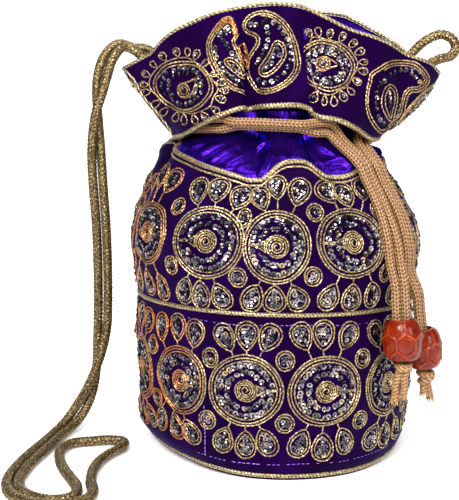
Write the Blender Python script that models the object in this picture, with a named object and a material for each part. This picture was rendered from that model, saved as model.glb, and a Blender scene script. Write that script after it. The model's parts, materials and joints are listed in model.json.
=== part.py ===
"""A potli: a round-based drawstring pouch of velvet and satin.

Metres, +Z up. The origin is the centre of the round base, on the surface that the bag stands on.
The front of the bag faces -Y. An angle "a" round the bag is measured from the front (-Y) towards
the right-hand side (+X), so a point at radius r is (r sin a, -r cos a).

The shape is given in millimetres below and scaled once, when a mesh or a curve is made.
"""

import math

import bmesh
import bpy
import numpy as np
from mathutils import Matrix, Vector

MM = 0.001

# ---------------------------------------------------------------- driving dimensions (mm)
SIDES = 60                 # facets round the bag
VELVET = 1.3               # velvet with its backing
SATIN = 0.8
LINING = 0.6
GAP = 0.35                 # between pieces that touch

BASE_R = 66.6
BASE_T = 1.4
BOARD_R = 65.8
BOARD_T = 2.0
PIPE_R = 1.25              # the covered cord in each seam
MID_SEAM_Z = 80.4

CORD_D = 4.1               # braided drawcord
STRAP_D = 5.0              # knitted gold cord of the hand loop
NECK_MID_Z = 165.8         # the two drawcords ring the neck, one above the other, about this height
NECK_TILT = 1.6            # and that much lower on the right
NECK_LIFT = 1.7            # and that much higher at the front

BEAD_D = 18.5
BEAD_L = 19.5
BEAD_BORE_R = 4.6
BEAD_TRAVEL = 12.0

# The outline of the bag's wall: height, half width to the left, to the right, and half depth
WALL = [
    (0.0, 67.6, 67.6, 67.6), (3.0, 69.4, 69.4, 69.4), (7.0, 70.7, 70.7, 70.7), (12.0, 71.3, 71.3, 71.3),
    (20.0, 71.7, 71.7, 71.7), (30.0, 72.2, 72.2, 72.2), (45.0, 72.8, 72.8, 72.8), (65.0, 73.2, 73.2, 73.2),
    (80.4, 73.0, 73.0, 73.0), (88.0, 73.9, 73.7, 73.8), (97.0, 75.6, 74.6, 75.1), (107.0, 76.6, 75.0, 75.7),
    (118.0, 75.2, 73.2, 74.0), (124.0, 73.8, 71.2, 71.8), (128.0, 72.4, 69.0, 69.8), (134.0, 70.6, 65.8, 66.8),
    (140.0, 68.9, 62.2, 63.6), (145.0, 67.0, 59.4, 60.6), (150.0, 64.6, 56.6, 56.4), (155.0, 60.6, 52.8, 51.6),
    (158.0, 56.2, 49.2, 48.2), (160.0, 52.4, 46.4, 46.0), (162.0, 48.6, 44.6, 44.4), (164.0, 46.4, 43.8, 43.6),
    (168.0, 45.6, 43.4, 43.2), (190.0, 45.8, 43.6, 43.0),
]

# The gathers: angle of each valley at the velvet's top seam, at the neck and at the collar's rim, and its half width
VALLEYS = [
    (-9.0, -16.5, -20.0, 8.0), (27.0, 18.5, 11.0, 9.0), (70.0, 66.0, 54.0, 8.5), (104.0, 106.0, 112.0, 8.5),
    (143.0, 143.0, 148.0, 9.0), (187.0, 186.0, 183.0, 8.5), (222.0, 223.0, 214.0, 9.0), (254.0, 255.0, 248.0, 8.5),
    (284.0, 288.0, 302.0, 8.5),
]

# How deep the gathers are at a height
GATHER = [
    (0.0, 0.0), (112.0, 0.0), (124.0, 0.7), (134.0, 2.4), (142.0, 4.6), (150.0, 6.6), (158.0, 7.4), (165.0, 6.6),
    (178.0, 6.0), (190.0, 6.0),
]

# Height of the velvet's top seam against the angle
SEAM = [
    (-76.0, 155.4), (-72.0, 155.2), (-50.0, 151.6), (-34.6, 147.4), (-25.7, 145.2), (-18.0, 143.0), (-12.0, 141.2),
    (-7.5, 141.4), (-3.5, 144.6), (0.5, 148.4), (5.0, 150.2), (10.5, 150.5), (15.0, 149.4), (19.5, 145.8), (24.5, 143.4),
    (30.0, 143.3), (40.0, 146.1), (50.0, 150.0), (58.0, 151.6), (64.0, 150.4), (71.0, 146.6), (79.0, 149.6), (88.0, 152.6),
    (96.0, 151.4), (104.0, 146.8), (113.0, 149.0), (124.0, 151.8), (134.0, 148.6), (143.0, 143.6), (152.0, 147.0),
    (164.0, 150.8), (176.0, 148.0), (186.0, 142.8), (196.0, 146.6), (206.0, 149.6), (214.0, 147.2), (222.0, 143.4),
    (231.0, 148.2), (240.0, 152.0), (248.0, 150.6), (255.0, 148.2), (263.0, 152.6), (272.0, 158.4), (279.0, 158.0),
]

# The collar's lower edge: angle, height, radius
COLLAR_LOW = [
    (-90.0, 162.4, 54.6), (-78.0, 161.4, 54.8), (-64.0, 161.8, 54.6), (-51.0, 164.8, 54.0), (-36.0, 170.2, 53.4),
    (-22.0, 175.0, 51.6), (-14.0, 176.0, 50.2), (-4.0, 176.3, 50.0), (10.0, 176.6, 50.4), (17.0, 175.6, 50.8),
    (22.0, 172.6, 52.8), (29.0, 171.0, 54.2), (43.0, 166.0, 55.6), (58.0, 161.4, 55.2), (70.0, 162.2, 53.6),
    (84.0, 164.2, 52.4), (100.0, 163.2, 52.6), (120.0, 162.2, 53.4), (140.0, 166.4, 53.4), (160.0, 172.6, 51.8),
    (180.0, 175.2, 50.6), (200.0, 172.8, 51.8), (222.0, 166.0, 53.8), (246.0, 162.4, 54.6),
]

# The collar's rim seen from the front: (x, height) of its front half and of its back half
RIM_FRONT = [
    (-83.0, 197.0), (-73.0, 202.4), (-61.0, 209.4), (-47.0, 216.4), (-31.0, 222.4), (-16.0, 224.6), (-4.0, 225.6),
    (8.0, 225.0), (22.0, 219.8), (35.0, 214.0), (48.0, 210.6), (65.0, 205.4), (78.0, 200.8), (83.0, 197.0),
]
RIM_BACK = [
    (-83.0, 197.0), (-72.0, 204.0), (-56.0, 213.0), (-38.0, 222.0), (-20.0, 228.6), (0.0, 231.8), (20.0, 232.8),
    (36.0, 230.8), (52.0, 222.8), (69.0, 209.6), (78.0, 200.6), (83.0, 197.0),
]
RIM_HALF_WIDTH = 83.0
RIM_DEPTH_FRONT, RIM_DEPTH_BACK = 41.0, 36.0
COLLAR_SWELL_LEFT, COLLAR_SWELL_RIGHT = 0.06, 0.16


# ---------------------------------------------------------------- the shape
def smooth_table(rows, x, column=1, period=None):
    """A table's value at x, on a smooth curve through its rows."""
    if period:
        rows = [(r[0] - period, *r[1:]) for r in rows[-3:]] + list(rows) + [(r[0] + period, *r[1:]) for r in rows[:3]]
        first = rows[3][0]
        x = (x - first) % period + first
    xs = [r[0] for r in rows]
    ys = [r[column] for r in rows]
    if x <= xs[0]:
        return ys[0]
    if x >= xs[-1]:
        return ys[-1]
    i = max(k for k in range(len(xs) - 1) if xs[k] <= x)

    def slope(k):
        if k <= 0 or k >= len(xs) - 1:
            return 0.0
        left = (ys[k] - ys[k - 1]) / (xs[k] - xs[k - 1])
        right = (ys[k + 1] - ys[k]) / (xs[k + 1] - xs[k])
        if left * right <= 0:
            return 0.0
        return 2 * left * right / (left + right)

    h = xs[i + 1] - xs[i]
    t = (x - xs[i]) / h
    return (
        ys[i] * (1 + 2 * t) * (1 - t) ** 2
        + slope(i) * h * t * (1 - t) ** 2
        + ys[i + 1] * t * t * (3 - 2 * t)
        + slope(i + 1) * h * t * t * (t - 1)
    )


def step(low, high, x):
    t = min(1.0, max(0.0, (x - low) / (high - low)))
    return t * t * (3 - 2 * t)


def turn(a):
    """An angle brought to -180..180."""
    return (a + 180.0) % 360.0 - 180.0


def valley(a, level):
    """1 in a gather's valley and 0 on the folds between them. level is 0 at the velvet's top seam, 1 at the neck, 2 at the rim."""
    found = 0.0
    for seam, neck, rim, width in VALLEYS:
        at = seam + (neck - seam) * min(level, 1.0) + (rim - neck) * max(level - 1.0, 0.0)
        d = abs(turn(a - at)) / (width * (1.0 + 0.25 * max(level - 1.0, 0.0)))
        found = max(found, math.exp(-(d ** 1.6)))
    return found


def crest_r(a, z):
    """Radius of the wall's folds at their highest, which a taut cord rests on."""
    s, c = math.sin(math.radians(a)), math.cos(math.radians(a))
    half_x = smooth_table(WALL, z, 2 if s > 0 else 1)
    half_y = smooth_table(WALL, z, 3)
    return 1.0 / math.sqrt((s / half_x) ** 2 + (c / half_y) ** 2)


def wall_r(a, z):
    """Radius of the bag's outer wall, from the base to the neck."""
    level = min(1.0, max(0.0, (z - 140.0) / 25.0))
    return crest_r(a, z) - smooth_table(GATHER, z) * valley(a, level)


def round_point(a, r, z):
    return Vector((r * math.sin(math.radians(a)), -r * math.cos(math.radians(a)), z))


def seam_z(a):
    return smooth_table(SEAM, a, period=360.0)


def satin_top_z(a):
    return 174.5 - 4.0 * math.sin(math.radians(a)) ** 2


def rim_point(a):
    """The collar's rim: a pointed oval drawn out to the left and the right, higher in the middle than at its corners."""
    s, c = math.sin(math.radians(a)), math.cos(math.radians(a))
    x = RIM_HALF_WIDTH * s
    y = -(RIM_DEPTH_FRONT if c > 0 else RIM_DEPTH_BACK) * c * (0.62 + 0.38 * abs(c))
    z = smooth_table(RIM_FRONT if c > 0 else RIM_BACK, x)
    k = 1.0 - 0.035 * valley(a, 2.0)
    return x * k, y * k, z


def collar_point(a, v):
    """The collar's outer face: v is 0 at its lower edge and 1 at its rim."""
    z0 = smooth_table(COLLAR_LOW, a, 1, 360.0)
    r = smooth_table(COLLAR_LOW, a, 2, 360.0) - 2.6 * valley(a, 1.0) * step(170.5, 174.0, z0)
    s, c = math.sin(math.radians(a)), math.cos(math.radians(a))
    x1, y1, z1 = rim_point(a)
    swell = COLLAR_SWELL_LEFT + (COLLAR_SWELL_RIGHT - COLLAR_SWELL_LEFT) * step(-0.3, 0.6, s)
    w = v + swell * math.sin(math.pi * v)
    x, y = r * s + (x1 - r * s) * w, -r * c + (y1 + r * c) * w
    fold = 3.6 * valley(a, 1.0 + v) * math.sin(math.pi * min(1.0, 0.80 * v + 0.12 * step(170.5, 174.0, z0))) ** 0.8
    k = 1 - fold / math.hypot(x, y)
    return Vector((x * k, y * k, z0 + (z1 - z0) * v))


def wall_point(a, z):
    return round_point(a, wall_r(a, z), z)


def inset(surface, a, v, depth, da=1.0, dv=0.01):
    """A point depth inside a surface, along its normal."""
    along = surface(a + da, v) - surface(a - da, v)
    up = surface(a, v + dv) - surface(a, v - dv)
    normal = along.cross(up).normalized()
    return surface(a, v) - normal * depth


def facing_point(a, v):
    """The satin inside the collar: from the top of the neck to just under the rim. v below 0 or over 1 isn't asked for."""
    z0 = satin_top_z(a) + GAP
    low = round_point(a, wall_r(a, z0) - 0.1, z0)
    mid = inset(collar_point, a, 0.62, VELVET + GAP + 0.8)
    high = inset(collar_point, a, 0.97, VELVET + GAP + 0.1)
    if v <= 0.6:
        return low.lerp(mid, max(v, -0.1) / 0.6)
    return mid.lerp(high, (v - 0.6) / 0.4)


# ---------------------------------------------------------------- making objects
def clear_scene():
    for obj in list(bpy.data.objects):
        bpy.data.objects.remove(obj, do_unlink=True)


def material(name, colour, roughness, metallic=0.0):
    made = bpy.data.materials.new(name)
    made.use_nodes = True
    shader = made.node_tree.nodes["Principled BSDF"]
    shader.inputs["Base Color"].default_value = (*colour, 1.0)
    shader.inputs["Roughness"].default_value = roughness
    shader.inputs["Metallic"].default_value = metallic
    return made


def place(name, data, mat, parent):
    obj = bpy.data.objects.new(name, data)
    bpy.context.scene.collection.objects.link(obj)
    data.materials.append(mat)
    obj.parent = parent
    return obj


def finish_mesh(bm, name, mat, parent, smooth=50.0):
    bmesh.ops.recalc_face_normals(bm, faces=bm.faces)
    mesh = bpy.data.meshes.new(name)
    bm.to_mesh(mesh)
    bm.free()
    mesh.shade_smooth()
    mesh.set_sharp_from_angle(angle=math.radians(smooth))
    return place(name, mesh, mat, parent)


def shell(outer, within, floor=False):
    """A closed shell between two stacks of loops, both from the lowest up. Both faces are cut along the same diagonals, so
    that two shells on one surface never cross. floor closes both lowest loops, and otherwise the shell is an open band."""
    bm = bmesh.new()
    out = [[bm.verts.new([c * MM for c in p]) for p in loop] for loop in outer]
    inn = [[bm.verts.new([c * MM for c in p]) for p in loop] for loop in within]
    n = len(out[0])
    for i in range(n):
        j = (i + 1) % n
        for rows, flip in ((out, False), (inn, True)):
            for a, b in zip(rows, rows[1:], strict=False):
                for face in ((a[i], a[j], b[j]), (a[i], b[j], b[i])):
                    bm.faces.new(face[::-1] if flip else face)
        bm.faces.new((out[-1][i], out[-1][j], inn[-1][j], inn[-1][i]))
        if not floor:
            bm.faces.new((out[0][j], out[0][i], inn[0][i], inn[0][j]))
    if floor:
        bm.faces.new(out[0][::-1])
        bm.faces.new(inn[0])
    return bm


ANGLES = [360.0 * i / SIDES for i in range(SIDES)]


def wall_loop(height, depth):
    """A loop round the bag's wall, depth inside its outer face. height is a number or a function of the angle."""
    return [tuple(inset(wall_point, a, height(a) if callable(height) else height, depth, dv=0.5)) for a in ANGLES]


def band(name, heights, inner, outer, mat, parent):
    """A closed band of the wall between two depths from its outer face."""
    out = [wall_loop(h, outer) for h in heights]
    within = [wall_loop(h, inner) for h in heights]
    return finish_mesh(shell(out, within), name, mat, parent)


def between(low, high, share):
    """A height a share of the way between two heights, either of which may follow the angle."""
    def at(a):
        lo = low(a) if callable(low) else low
        hi = high(a) if callable(high) else high
        return lo + (hi - lo) * share
    return at


def smooth_line(points, spacing, closed=False):
    """Points about spacing apart on a smooth curve through the given ones (centripetal Catmull-Rom)."""
    pts = [Vector(p) for p in points]
    n = len(pts)
    fine = []
    last = n if closed else n - 1
    for i in range(last):
        if closed:
            p0, p1, p2, p3 = pts[(i - 1) % n], pts[i], pts[(i + 1) % n], pts[(i + 2) % n]
        else:
            p1, p2 = pts[i], pts[i + 1]
            p0 = pts[i - 1] if i > 0 else p1 * 2 - p2
            p3 = pts[i + 2] if i + 2 < n else p2 * 2 - p1
        t0 = 0.0
        t1 = t0 + max(1e-6, (p1 - p0).length) ** 0.5
        t2 = t1 + max(1e-6, (p2 - p1).length) ** 0.5
        t3 = t2 + max(1e-6, (p3 - p2).length) ** 0.5
        for k in range(16):
            t = t1 + (t2 - t1) * k / 16
            a1 = p0 * ((t1 - t) / (t1 - t0)) + p1 * ((t - t0) / (t1 - t0))
            a2 = p1 * ((t2 - t) / (t2 - t1)) + p2 * ((t - t1) / (t2 - t1))
            a3 = p2 * ((t3 - t) / (t3 - t2)) + p3 * ((t - t2) / (t3 - t2))
            b1 = a1 * ((t2 - t) / (t2 - t0)) + a2 * ((t - t0) / (t2 - t0))
            b2 = a2 * ((t3 - t) / (t3 - t1)) + a3 * ((t - t1) / (t3 - t1))
            fine.append(b1 * ((t2 - t) / (t2 - t1)) + b2 * ((t - t1) / (t2 - t1)))
    fine.append(pts[0].copy() if closed else pts[-1].copy())
    along = [0.0]
    for p, q in zip(fine, fine[1:], strict=False):
        along.append(along[-1] + (q - p).length)
    count = max(4, round(along[-1] / spacing))
    made, k = [], 0
    for i in range(count if closed else count + 1):
        want = along[-1] * i / count
        while k < len(along) - 2 and along[k + 1] < want:
            k += 1
        part = (want - along[k]) / max(1e-9, along[k + 1] - along[k])
        made.append(fine[k].lerp(fine[k + 1], part))
    return made


def tube(name, points, radius, mat, parent, closed=False, sides=2):
    """A round tube on a line of points: a curve with a bevel and filled caps."""
    data = bpy.data.curves.new(name, "CURVE")
    data.dimensions = "3D"
    data.bevel_depth = radius * MM
    data.bevel_resolution = sides
    data.use_fill_caps = not closed
    data.twist_mode = "MINIMUM"
    spline = data.splines.new("POLY")
    spline.points.add(len(points) - 1)
    for slot, p in zip(spline.points, points, strict=True):
        slot.co = (p[0] * MM, p[1] * MM, p[2] * MM, 1.0)
    spline.use_cyclic_u = closed
    return place(name, data, mat, parent)


# ---------------------------------------------------------------- the pieces of the bag
def make_bag(parent, mats):
    # Round base: velvet over a stiff board
    bm = bmesh.new()
    bmesh.ops.create_cone(bm, cap_ends=True, segments=SIDES, radius1=BASE_R * MM, radius2=BASE_R * MM, depth=BASE_T * MM)
    base = finish_mesh(bm, "base_panel", mats["velvet"], parent, 30)
    base.location = (0, 0, BASE_T / 2 * MM)
    bm = bmesh.new()
    bmesh.ops.create_cone(bm, cap_ends=True, segments=SIDES, radius1=BOARD_R * MM, radius2=BOARD_R * MM, depth=BOARD_T * MM)
    board = finish_mesh(bm, "base_board", mats["board"], parent, 30)
    board.location = (0, 0, (BASE_T + GAP + BOARD_T / 2) * MM)

    # Velvet bands and the satin neck, with a piped seam between each two
    top = lambda a: seam_z(a) - 1.65
    low = lambda a: seam_z(a) + 1.65
    lower = [4.0, 8.0, 13.0, 30.0, 52.0, MID_SEAM_Z - 1.65]
    upper = [MID_SEAM_Z + 1.65, 91.0, 101.0, 111.0, between(111.0, top, 0.30), between(111.0, top, 0.62), top]
    neck = [low, between(low, 163.0, 0.33), between(low, 163.0, 0.66), 163.0, 168.0, satin_top_z]
    band("lower_band", lower, VELVET, 0.0, mats["velvet"], parent)
    band("upper_band", upper, VELVET, 0.0, mats["velvet"], parent)
    band("satin_neck", neck, SATIN, 0.0, mats["satin"], parent)

    # Lining bag, one shell with its own floor
    depth = VELVET + GAP
    floor = BASE_T + BOARD_T + 2 * GAP + 0.15
    heights = [floor, *lower[1:], *upper, *neck]
    outer = [wall_loop(h, depth) for h in heights]
    outer[0] = [(x, y, floor) for x, y, _ in outer[0]]
    within = [wall_loop(h, depth + LINING) for h in heights]
    within[0] = [(x, y, floor + LINING) for x, y, _ in within[0]]
    finish_mesh(shell(outer, within, floor=True), "lining", mats["satin"], parent)

    # Collar and its satin facing
    def skin(name, surface, shares, thickness, mat):
        out = [[tuple(surface(a, v)) for a in ANGLES] for v in shares]
        within = [[tuple(inset(surface, a, v, thickness)) for a in ANGLES] for v in shares]
        return finish_mesh(shell(out, within), name, mat, parent)

    skin("collar", collar_point, [0.03, 0.2, 0.42, 0.62, 0.82, 0.975], VELVET, mats["velvet"])
    skin("collar_facing", facing_point, [0.0, 0.2, 0.4, 0.6, 0.8, 0.98], LINING, mats["satin"])

    # Piping: a covered cord in the base seam, the middle seam and the neck seam, and along both edges of the collar
    def ring(height, depth):
        return [inset(wall_point, a, height(a) if callable(height) else height, depth, dv=0.5) for a in ANGLES]

    tube("base_piping", ring(2.4, -0.35), PIPE_R, mats["zari"], parent, closed=True, sides=1)
    tube("middle_piping", ring(MID_SEAM_Z, 0.0), PIPE_R, mats["zari"], parent, closed=True, sides=1)
    tube("neck_piping", ring(seam_z, 0.05), PIPE_R, mats["zari"], parent, closed=True, sides=1)

    def edge(v, inside, beyond):
        points = []
        for a in ANGLES:
            p = inset(collar_point, a, v, inside)
            away = (collar_point(a, v) - collar_point(a, 0.5)).normalized()
            points.append(p + away * beyond)
        return points

    tube("collar_lower_piping", edge(0.03, VELVET / 2, 1.7), PIPE_R, mats["zari"], parent, closed=True, sides=1)
    tube("collar_rim_piping", edge(0.98, VELVET / 2 + 0.45, 1.8), PIPE_R, mats["zari"], parent, closed=True, sides=1)


# ---------------------------------------------------------------- cords
# The straight run of each hanging pair, which its bead slides on: (angle, radius, height) at its top and its foot
RUN_FRONT = ((45.4, 82.6, 93.0), (45.2, 87.4, 50.0))
RUN_REAR = ((57.0, 82.6, 88.0), (59.6, 87.6, 44.0))
BEAD_FRONT_Z, BEAD_REAR_Z = 68.0, 61.0
PAIR = CORD_D / 2 + 0.16     # half the distance between the two cords of a pair in a bead's bore
LOOSE = CORD_D / 2 + 0.45    # and elsewhere

# How each pair climbs from its bead to the neck: (height, angle)
CLIMB_FRONT = [(105.0, 45.2), (112.0, 44.6), (120.0, 44.2), (128.0, 44.2), (136.0, 43.8), (143.0, 42.8), (149.5, 41.4), (155.5, 39.8), (160.2, 37.4)]
CLIMB_REAR = [(99.0, 57.0), (107.0, 56.0), (116.0, 55.2), (125.0, 54.8), (134.0, 54.2), (142.0, 53.4), (149.0, 52.6), (155.5, 52.6), (160.0, 54.8)]
LEAVE_LEFT, LEAVE_RIGHT = 32.5, -360.0 + 63.0   # where the ring round the neck begins and ends


def run_frame(run, height):
    """(centre at a height, unit axis pointing up, unit side) of a straight run. The front pair lies side by side as seen
    from the front, and the rear pair along the wall."""
    top, foot = round_point(*run[0]), round_point(*run[1])
    axis = (top - foot).normalized()
    centre = foot + axis * ((height - foot.z) / axis.z)
    side = Vector((1.0, 0.12, 0.0)) if run is RUN_FRONT else axis.cross(Vector((centre.x, centre.y, 0)))
    side = (side - axis * side.dot(axis)).normalized()
    return centre, axis, side if side.x > 0 else -side


def clear_r(a, z, radius):
    """The least radius at which a cord's centre clears the folds' crests and the piping of the neck seam."""
    reach = radius + 0.5
    best = 0.0
    for k in range(-8, 9):
        dz = reach * k / 8
        crest = crest_r(a, z + dz) + (1.5 if abs(z + dz - seam_z(a)) < 1.6 else 0.0)
        best = max(best, crest + math.sqrt(max(0.0, reach * reach - dz * dz)))
    return best


def drawcord_line(k):
    """The whole route of drawcord k (0 lower, 1 upper): from the front knot up through the front bead, once round the neck
    and down through the rear bead to the rear knot. The pair keeps side by side; k picks the side."""
    sign = -1.0 if k == 0 else 1.0
    foot = -(BEAD_L / 2 + 0.4)
    ends = []
    for run, height, way in ((RUN_FRONT, BEAD_FRONT_Z, 1.0), (RUN_REAR, BEAD_REAR_Z, -1.0)):
        centre, axis, side = run_frame(run, height)
        top = (run[0][2] - height) / axis.z
        ends.append([centre + axis * t + side * (sign * way * PAIR) for t in (foot, foot * 0.5, 0.0, top * 0.35, top * 0.7, top)])
    middle = [(a, z) for z, a in CLIMB_FRONT]
    count = 34
    for i in range(count + 1):
        a = LEAVE_LEFT + (LEAVE_RIGHT - LEAVE_LEFT) * i / count
        middle.append((a, NECK_MID_Z + NECK_LIFT * max(0.0, math.cos(math.radians(a))) - NECK_TILT * math.sin(math.radians(a))))
    middle += [(a - 360.0, z) for z, a in reversed(CLIMB_REAR)]
    # over the front of the neck the upper cord lies half in front of the lower one
    tilts = [math.radians(72.0) * step(-36.0, -25.0, a) * (1.0 - step(12.0, 29.0, a)) if a > -180.0 else 0.0 for a, _ in middle]
    centres = [
        round_point(a, clear_r(a, z, CORD_D / 2) + LOOSE * math.sin(t), z) for (a, z), t in zip(middle, tilts, strict=True)
    ]
    run_side = run_frame(RUN_FRONT, 93.0)[2]
    made = []
    for i, c in enumerate(centres):
        along = (centres[min(i + 1, len(centres) - 1)] - centres[max(i - 1, 0)]).normalized()
        a, z = middle[i]
        slope = (crest_r(a, z + 1.5) - crest_r(a, z - 1.5)) / 3.0
        out = Vector((math.sin(math.radians(a)), -math.cos(math.radians(a)), -max(-1.2, min(1.2, slope)))).normalized()
        side = along.cross(out).normalized()
        if i < len(CLIMB_FRONT):
            share = 1.0 - step(100.0, 132.0, z)
            side = (side * (1.0 - share) + run_side * share).normalized()
            c = c + out * (1.6 * share)
        p = c + (side * math.cos(tilts[i]) + out * math.sin(tilts[i])) * (sign * LOOSE)
        pa = math.degrees(math.atan2(p.x, -p.y))
        r = max(math.hypot(p.x, p.y), clear_r(pa, p.z, CORD_D / 2))
        made.append(round_point(pa, r, p.z))
    return ends[0] + made + ends[1][::-1]


def drawcord(k, name, mat, parent):
    points = smooth_line(drawcord_line(k), 8.4)
    return tube(name, points, CORD_D / 2, mat, parent)


def bead(name, run, height, mat, parent):
    """A barrel bead, turned about its bore. Its origin is its centre, and its own Z is the cords' line that it slides on."""
    centre, axis, _ = run_frame(run, height)
    bm = bmesh.new()
    profile = []
    steps = 10
    for i in range(steps + 1):
        t = -1 + 2 * i / steps
        r = 5.9 + (BEAD_D / 2 - 5.9) * (1 - abs(t) ** 2.4) ** 0.62
        profile.append((r, t * BEAD_L / 2))
    profile += [(BEAD_BORE_R, BEAD_L / 2 - 0.3), (BEAD_BORE_R, -BEAD_L / 2 + 0.3)]
    verts = [bm.verts.new((r * MM, 0, z * MM)) for r, z in profile]
    edges = [bm.edges.new((verts[i], verts[(i + 1) % len(verts)])) for i in range(len(verts))]
    bmesh.ops.spin(bm, geom=verts + edges, cent=(0, 0, 0), axis=(0, 0, 1), angle=math.tau, steps=24, use_merge=True)
    bmesh.ops.remove_doubles(bm, verts=bm.verts, dist=1e-6)
    obj = finish_mesh(bm, name, mat, parent, 40)
    obj.location = centre * MM
    obj.rotation_euler = axis.to_track_quat("Z", "Y").to_euler()
    return obj


def knot(name, run, height, mat, parent, size, tails):
    """The knot under a bead and the two cut ends below it, one body: the pair tied round itself."""
    centre, axis, side = run_frame(run, height)
    fore = axis.cross(side).normalized()
    top = -(BEAD_L / 2 + 0.75)
    bm = bmesh.new()
    bmesh.ops.create_uvsphere(bm, u_segments=14, v_segments=9, radius=1.0)
    bmesh.ops.scale(bm, vec=[c * MM for c in size], verts=bm.verts)
    lump = finish_mesh(bm, name, mat, parent, 60)
    frame = Matrix((side, fore, axis)).transposed().to_4x4()
    frame.translation = (centre + axis * (top - size[2])) * MM
    lump.matrix_world = frame
    for i, (lean, out, long) in enumerate(tails):
        bm = bmesh.new()
        radius = 1.9 * MM
        bmesh.ops.create_cone(bm, cap_ends=True, segments=10, radius1=radius, radius2=radius, depth=long * MM)
        cutter = finish_mesh(bm, f"{name}_tail_{i}", mat, parent, 40)
        start = centre + axis * (top - size[2]) + side * lean[0]
        d = (-axis + side * lean[1] + fore * out).normalized()
        mid = start + d * (long / 2)
        m = (-d).to_track_quat("Z", "Y").to_matrix().to_4x4()
        m.translation = mid * MM
        cutter.matrix_world = m
        cutter.hide_render = True
        cutter.display_type = "WIRE"
        join = lump.modifiers.new(f"tail_{i}", "BOOLEAN")
        join.operation = "UNION"
        join.solver = "EXACT"
        join.object = cutter
    return lump


# ---------------------------------------------------------------- the gold loops
STRAP_HALF = STRAP_D / 2 + 0.15   # half the distance between the loop's two runs


def strap_line():
    """The hand loop's route. Its two runs leave the inside of the collar's left corner side by side, arch over the rim,
    hang down the left side, turning once about each other, and lie on the surface in a hook that ends in the loop's bight."""
    # (x, y, z, angle of the pair): 0 is side by side across the view, 90 one behind the other
    pair = [
        (-84.8, 1.4, 209.2, 40), (-90.6, 0.2, 203.0, 15), (-93.6, -1.0, 193.6, 10), (-95.4, -1.0, 184.0, 45),
        (-96.6, -1.0, 174.0, 88), (-97.0, -1.0, 159.3, 130), (-96.6, -1.0, 146.0, 160), (-95.6, -1.0, 131.0, 178),
        (-94.4, -1.0, 116.5, 182), (-93.4, -1.0, 95.0, 180), (-93.2, -0.5, 72.6, 180), (-93.6, 0.0, 58.7, 190),
        (-94.8, 0.0, 47.5, 222), (-97.4, 0.0, 33.4, 268), (-100.6, -0.2, 22.4, 305), (-104.6, -1.4, 13.4, 335),
        (-108.8, -5.0, 6.8, 352), (-112.0, -12.0, 3.6, 358),
    ]
    flat = [
        (-113.8, -20.0), (-114.9, -31.0), (-116.8, -45.4), (-118.4, -60.3), (-119.0, -74.0), (-118.0, -88.0),
        (-113.6, -100.0), (-104.5, -108.6), (-94.5, -111.4),
    ]
    rest = STRAP_D / 2 + 0.3
    centres = [Vector(p[:3]) for p in pair] + [Vector((x, y, rest)) for x, y in flat]
    sides = []
    for i, c in enumerate(centres):
        before, after = centres[max(0, i - 1)], centres[min(len(centres) - 1, i + 1)]
        along = (after - before).normalized()
        if i < len(pair):
            across = (Vector((1, 0, 0)) - along * along.x).normalized()
            deep = along.cross(across).normalized()
            t = math.radians(pair[i][3])
            sides.append(across * math.cos(t) + deep * math.sin(t))
        else:
            sides.append(Vector((along.y, -along.x, 0)).normalized())
    # the flat part's side joins the hanging part's last one with the same sign
    flip = 1.0 if sides[len(pair) - 1].dot(sides[len(pair)]) > 0 else -1.0
    sides = [s if i < len(pair) else s * flip for i, s in enumerate(sides)]
    one = [c + s * STRAP_HALF for c, s in zip(centres, sides, strict=True)]
    two = [c - s * STRAP_HALF for c, s in zip(centres, sides, strict=True)]
    for line in (one, two):
        for p in line:
            p.z = max(p.z, rest)
    bight = [
        (-86.6, -104.0), (-87.4, -93.0), (-93.0, -81.5), (-98.6, -70.5), (-103.8, -57.0), (-106.2, -43.8), (-102.8, -33.4),
        (-94.4, -29.4), (-85.4, -26.4), (-77.4, -27.6), (-76.0, -36.0), (-80.4, -46.6), (-83.6, -57.5), (-84.4, -70.6),
        (-82.4, -86.0), (-79.0, -98.0), (-80.8, -108.0),
    ]
    bight = [Vector((x, y, rest)) for x, y in bight]
    if (one[-1] - bight[0]).length > (two[-1] - bight[0]).length:
        one, two = two, one
    return one, bight, two


def strap_points():
    one, bight, two = strap_line()
    inner = [Vector(p) for p in ((-66.8, 3.3, 188.6), (-65.2, 3.8, 196.0), (-65.6, 4.6, 202.8), (-70.0, 4.8, 207.6), (-77.4, 3.9, 208.6))]
    corner = [Vector(p) for p in ((-66.8, -3.3, 188.6), (-67.8, -3.4, 196.0), (-72.2, -3.2, 203.0), (-78.4, -2.8, 207.4))]
    if one[0].y > two[0].y:
        return inner + one + bight + two[::-1] + corner[::-1]
    return corner + one + bight + two[::-1] + inner[::-1]


def small_loop_points():
    return [Vector(p) for p in (
        (66.8, 3.4, 188.6), (65.4, 4.0, 196.0), (66.8, 5.0, 203.2), (71.2, 5.6, 209.8), (77.4, 5.4, 215.0), (84.0, 4.4, 217.4),
        (89.6, 2.8, 214.8), (91.2, 1.2, 209.8), (88.4, -0.4, 205.8), (83.4, -1.6, 204.4), (78.2, -2.6, 202.0), (72.6, -3.2, 196.2), (69.2, -3.4, 189.8),
    )]


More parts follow.
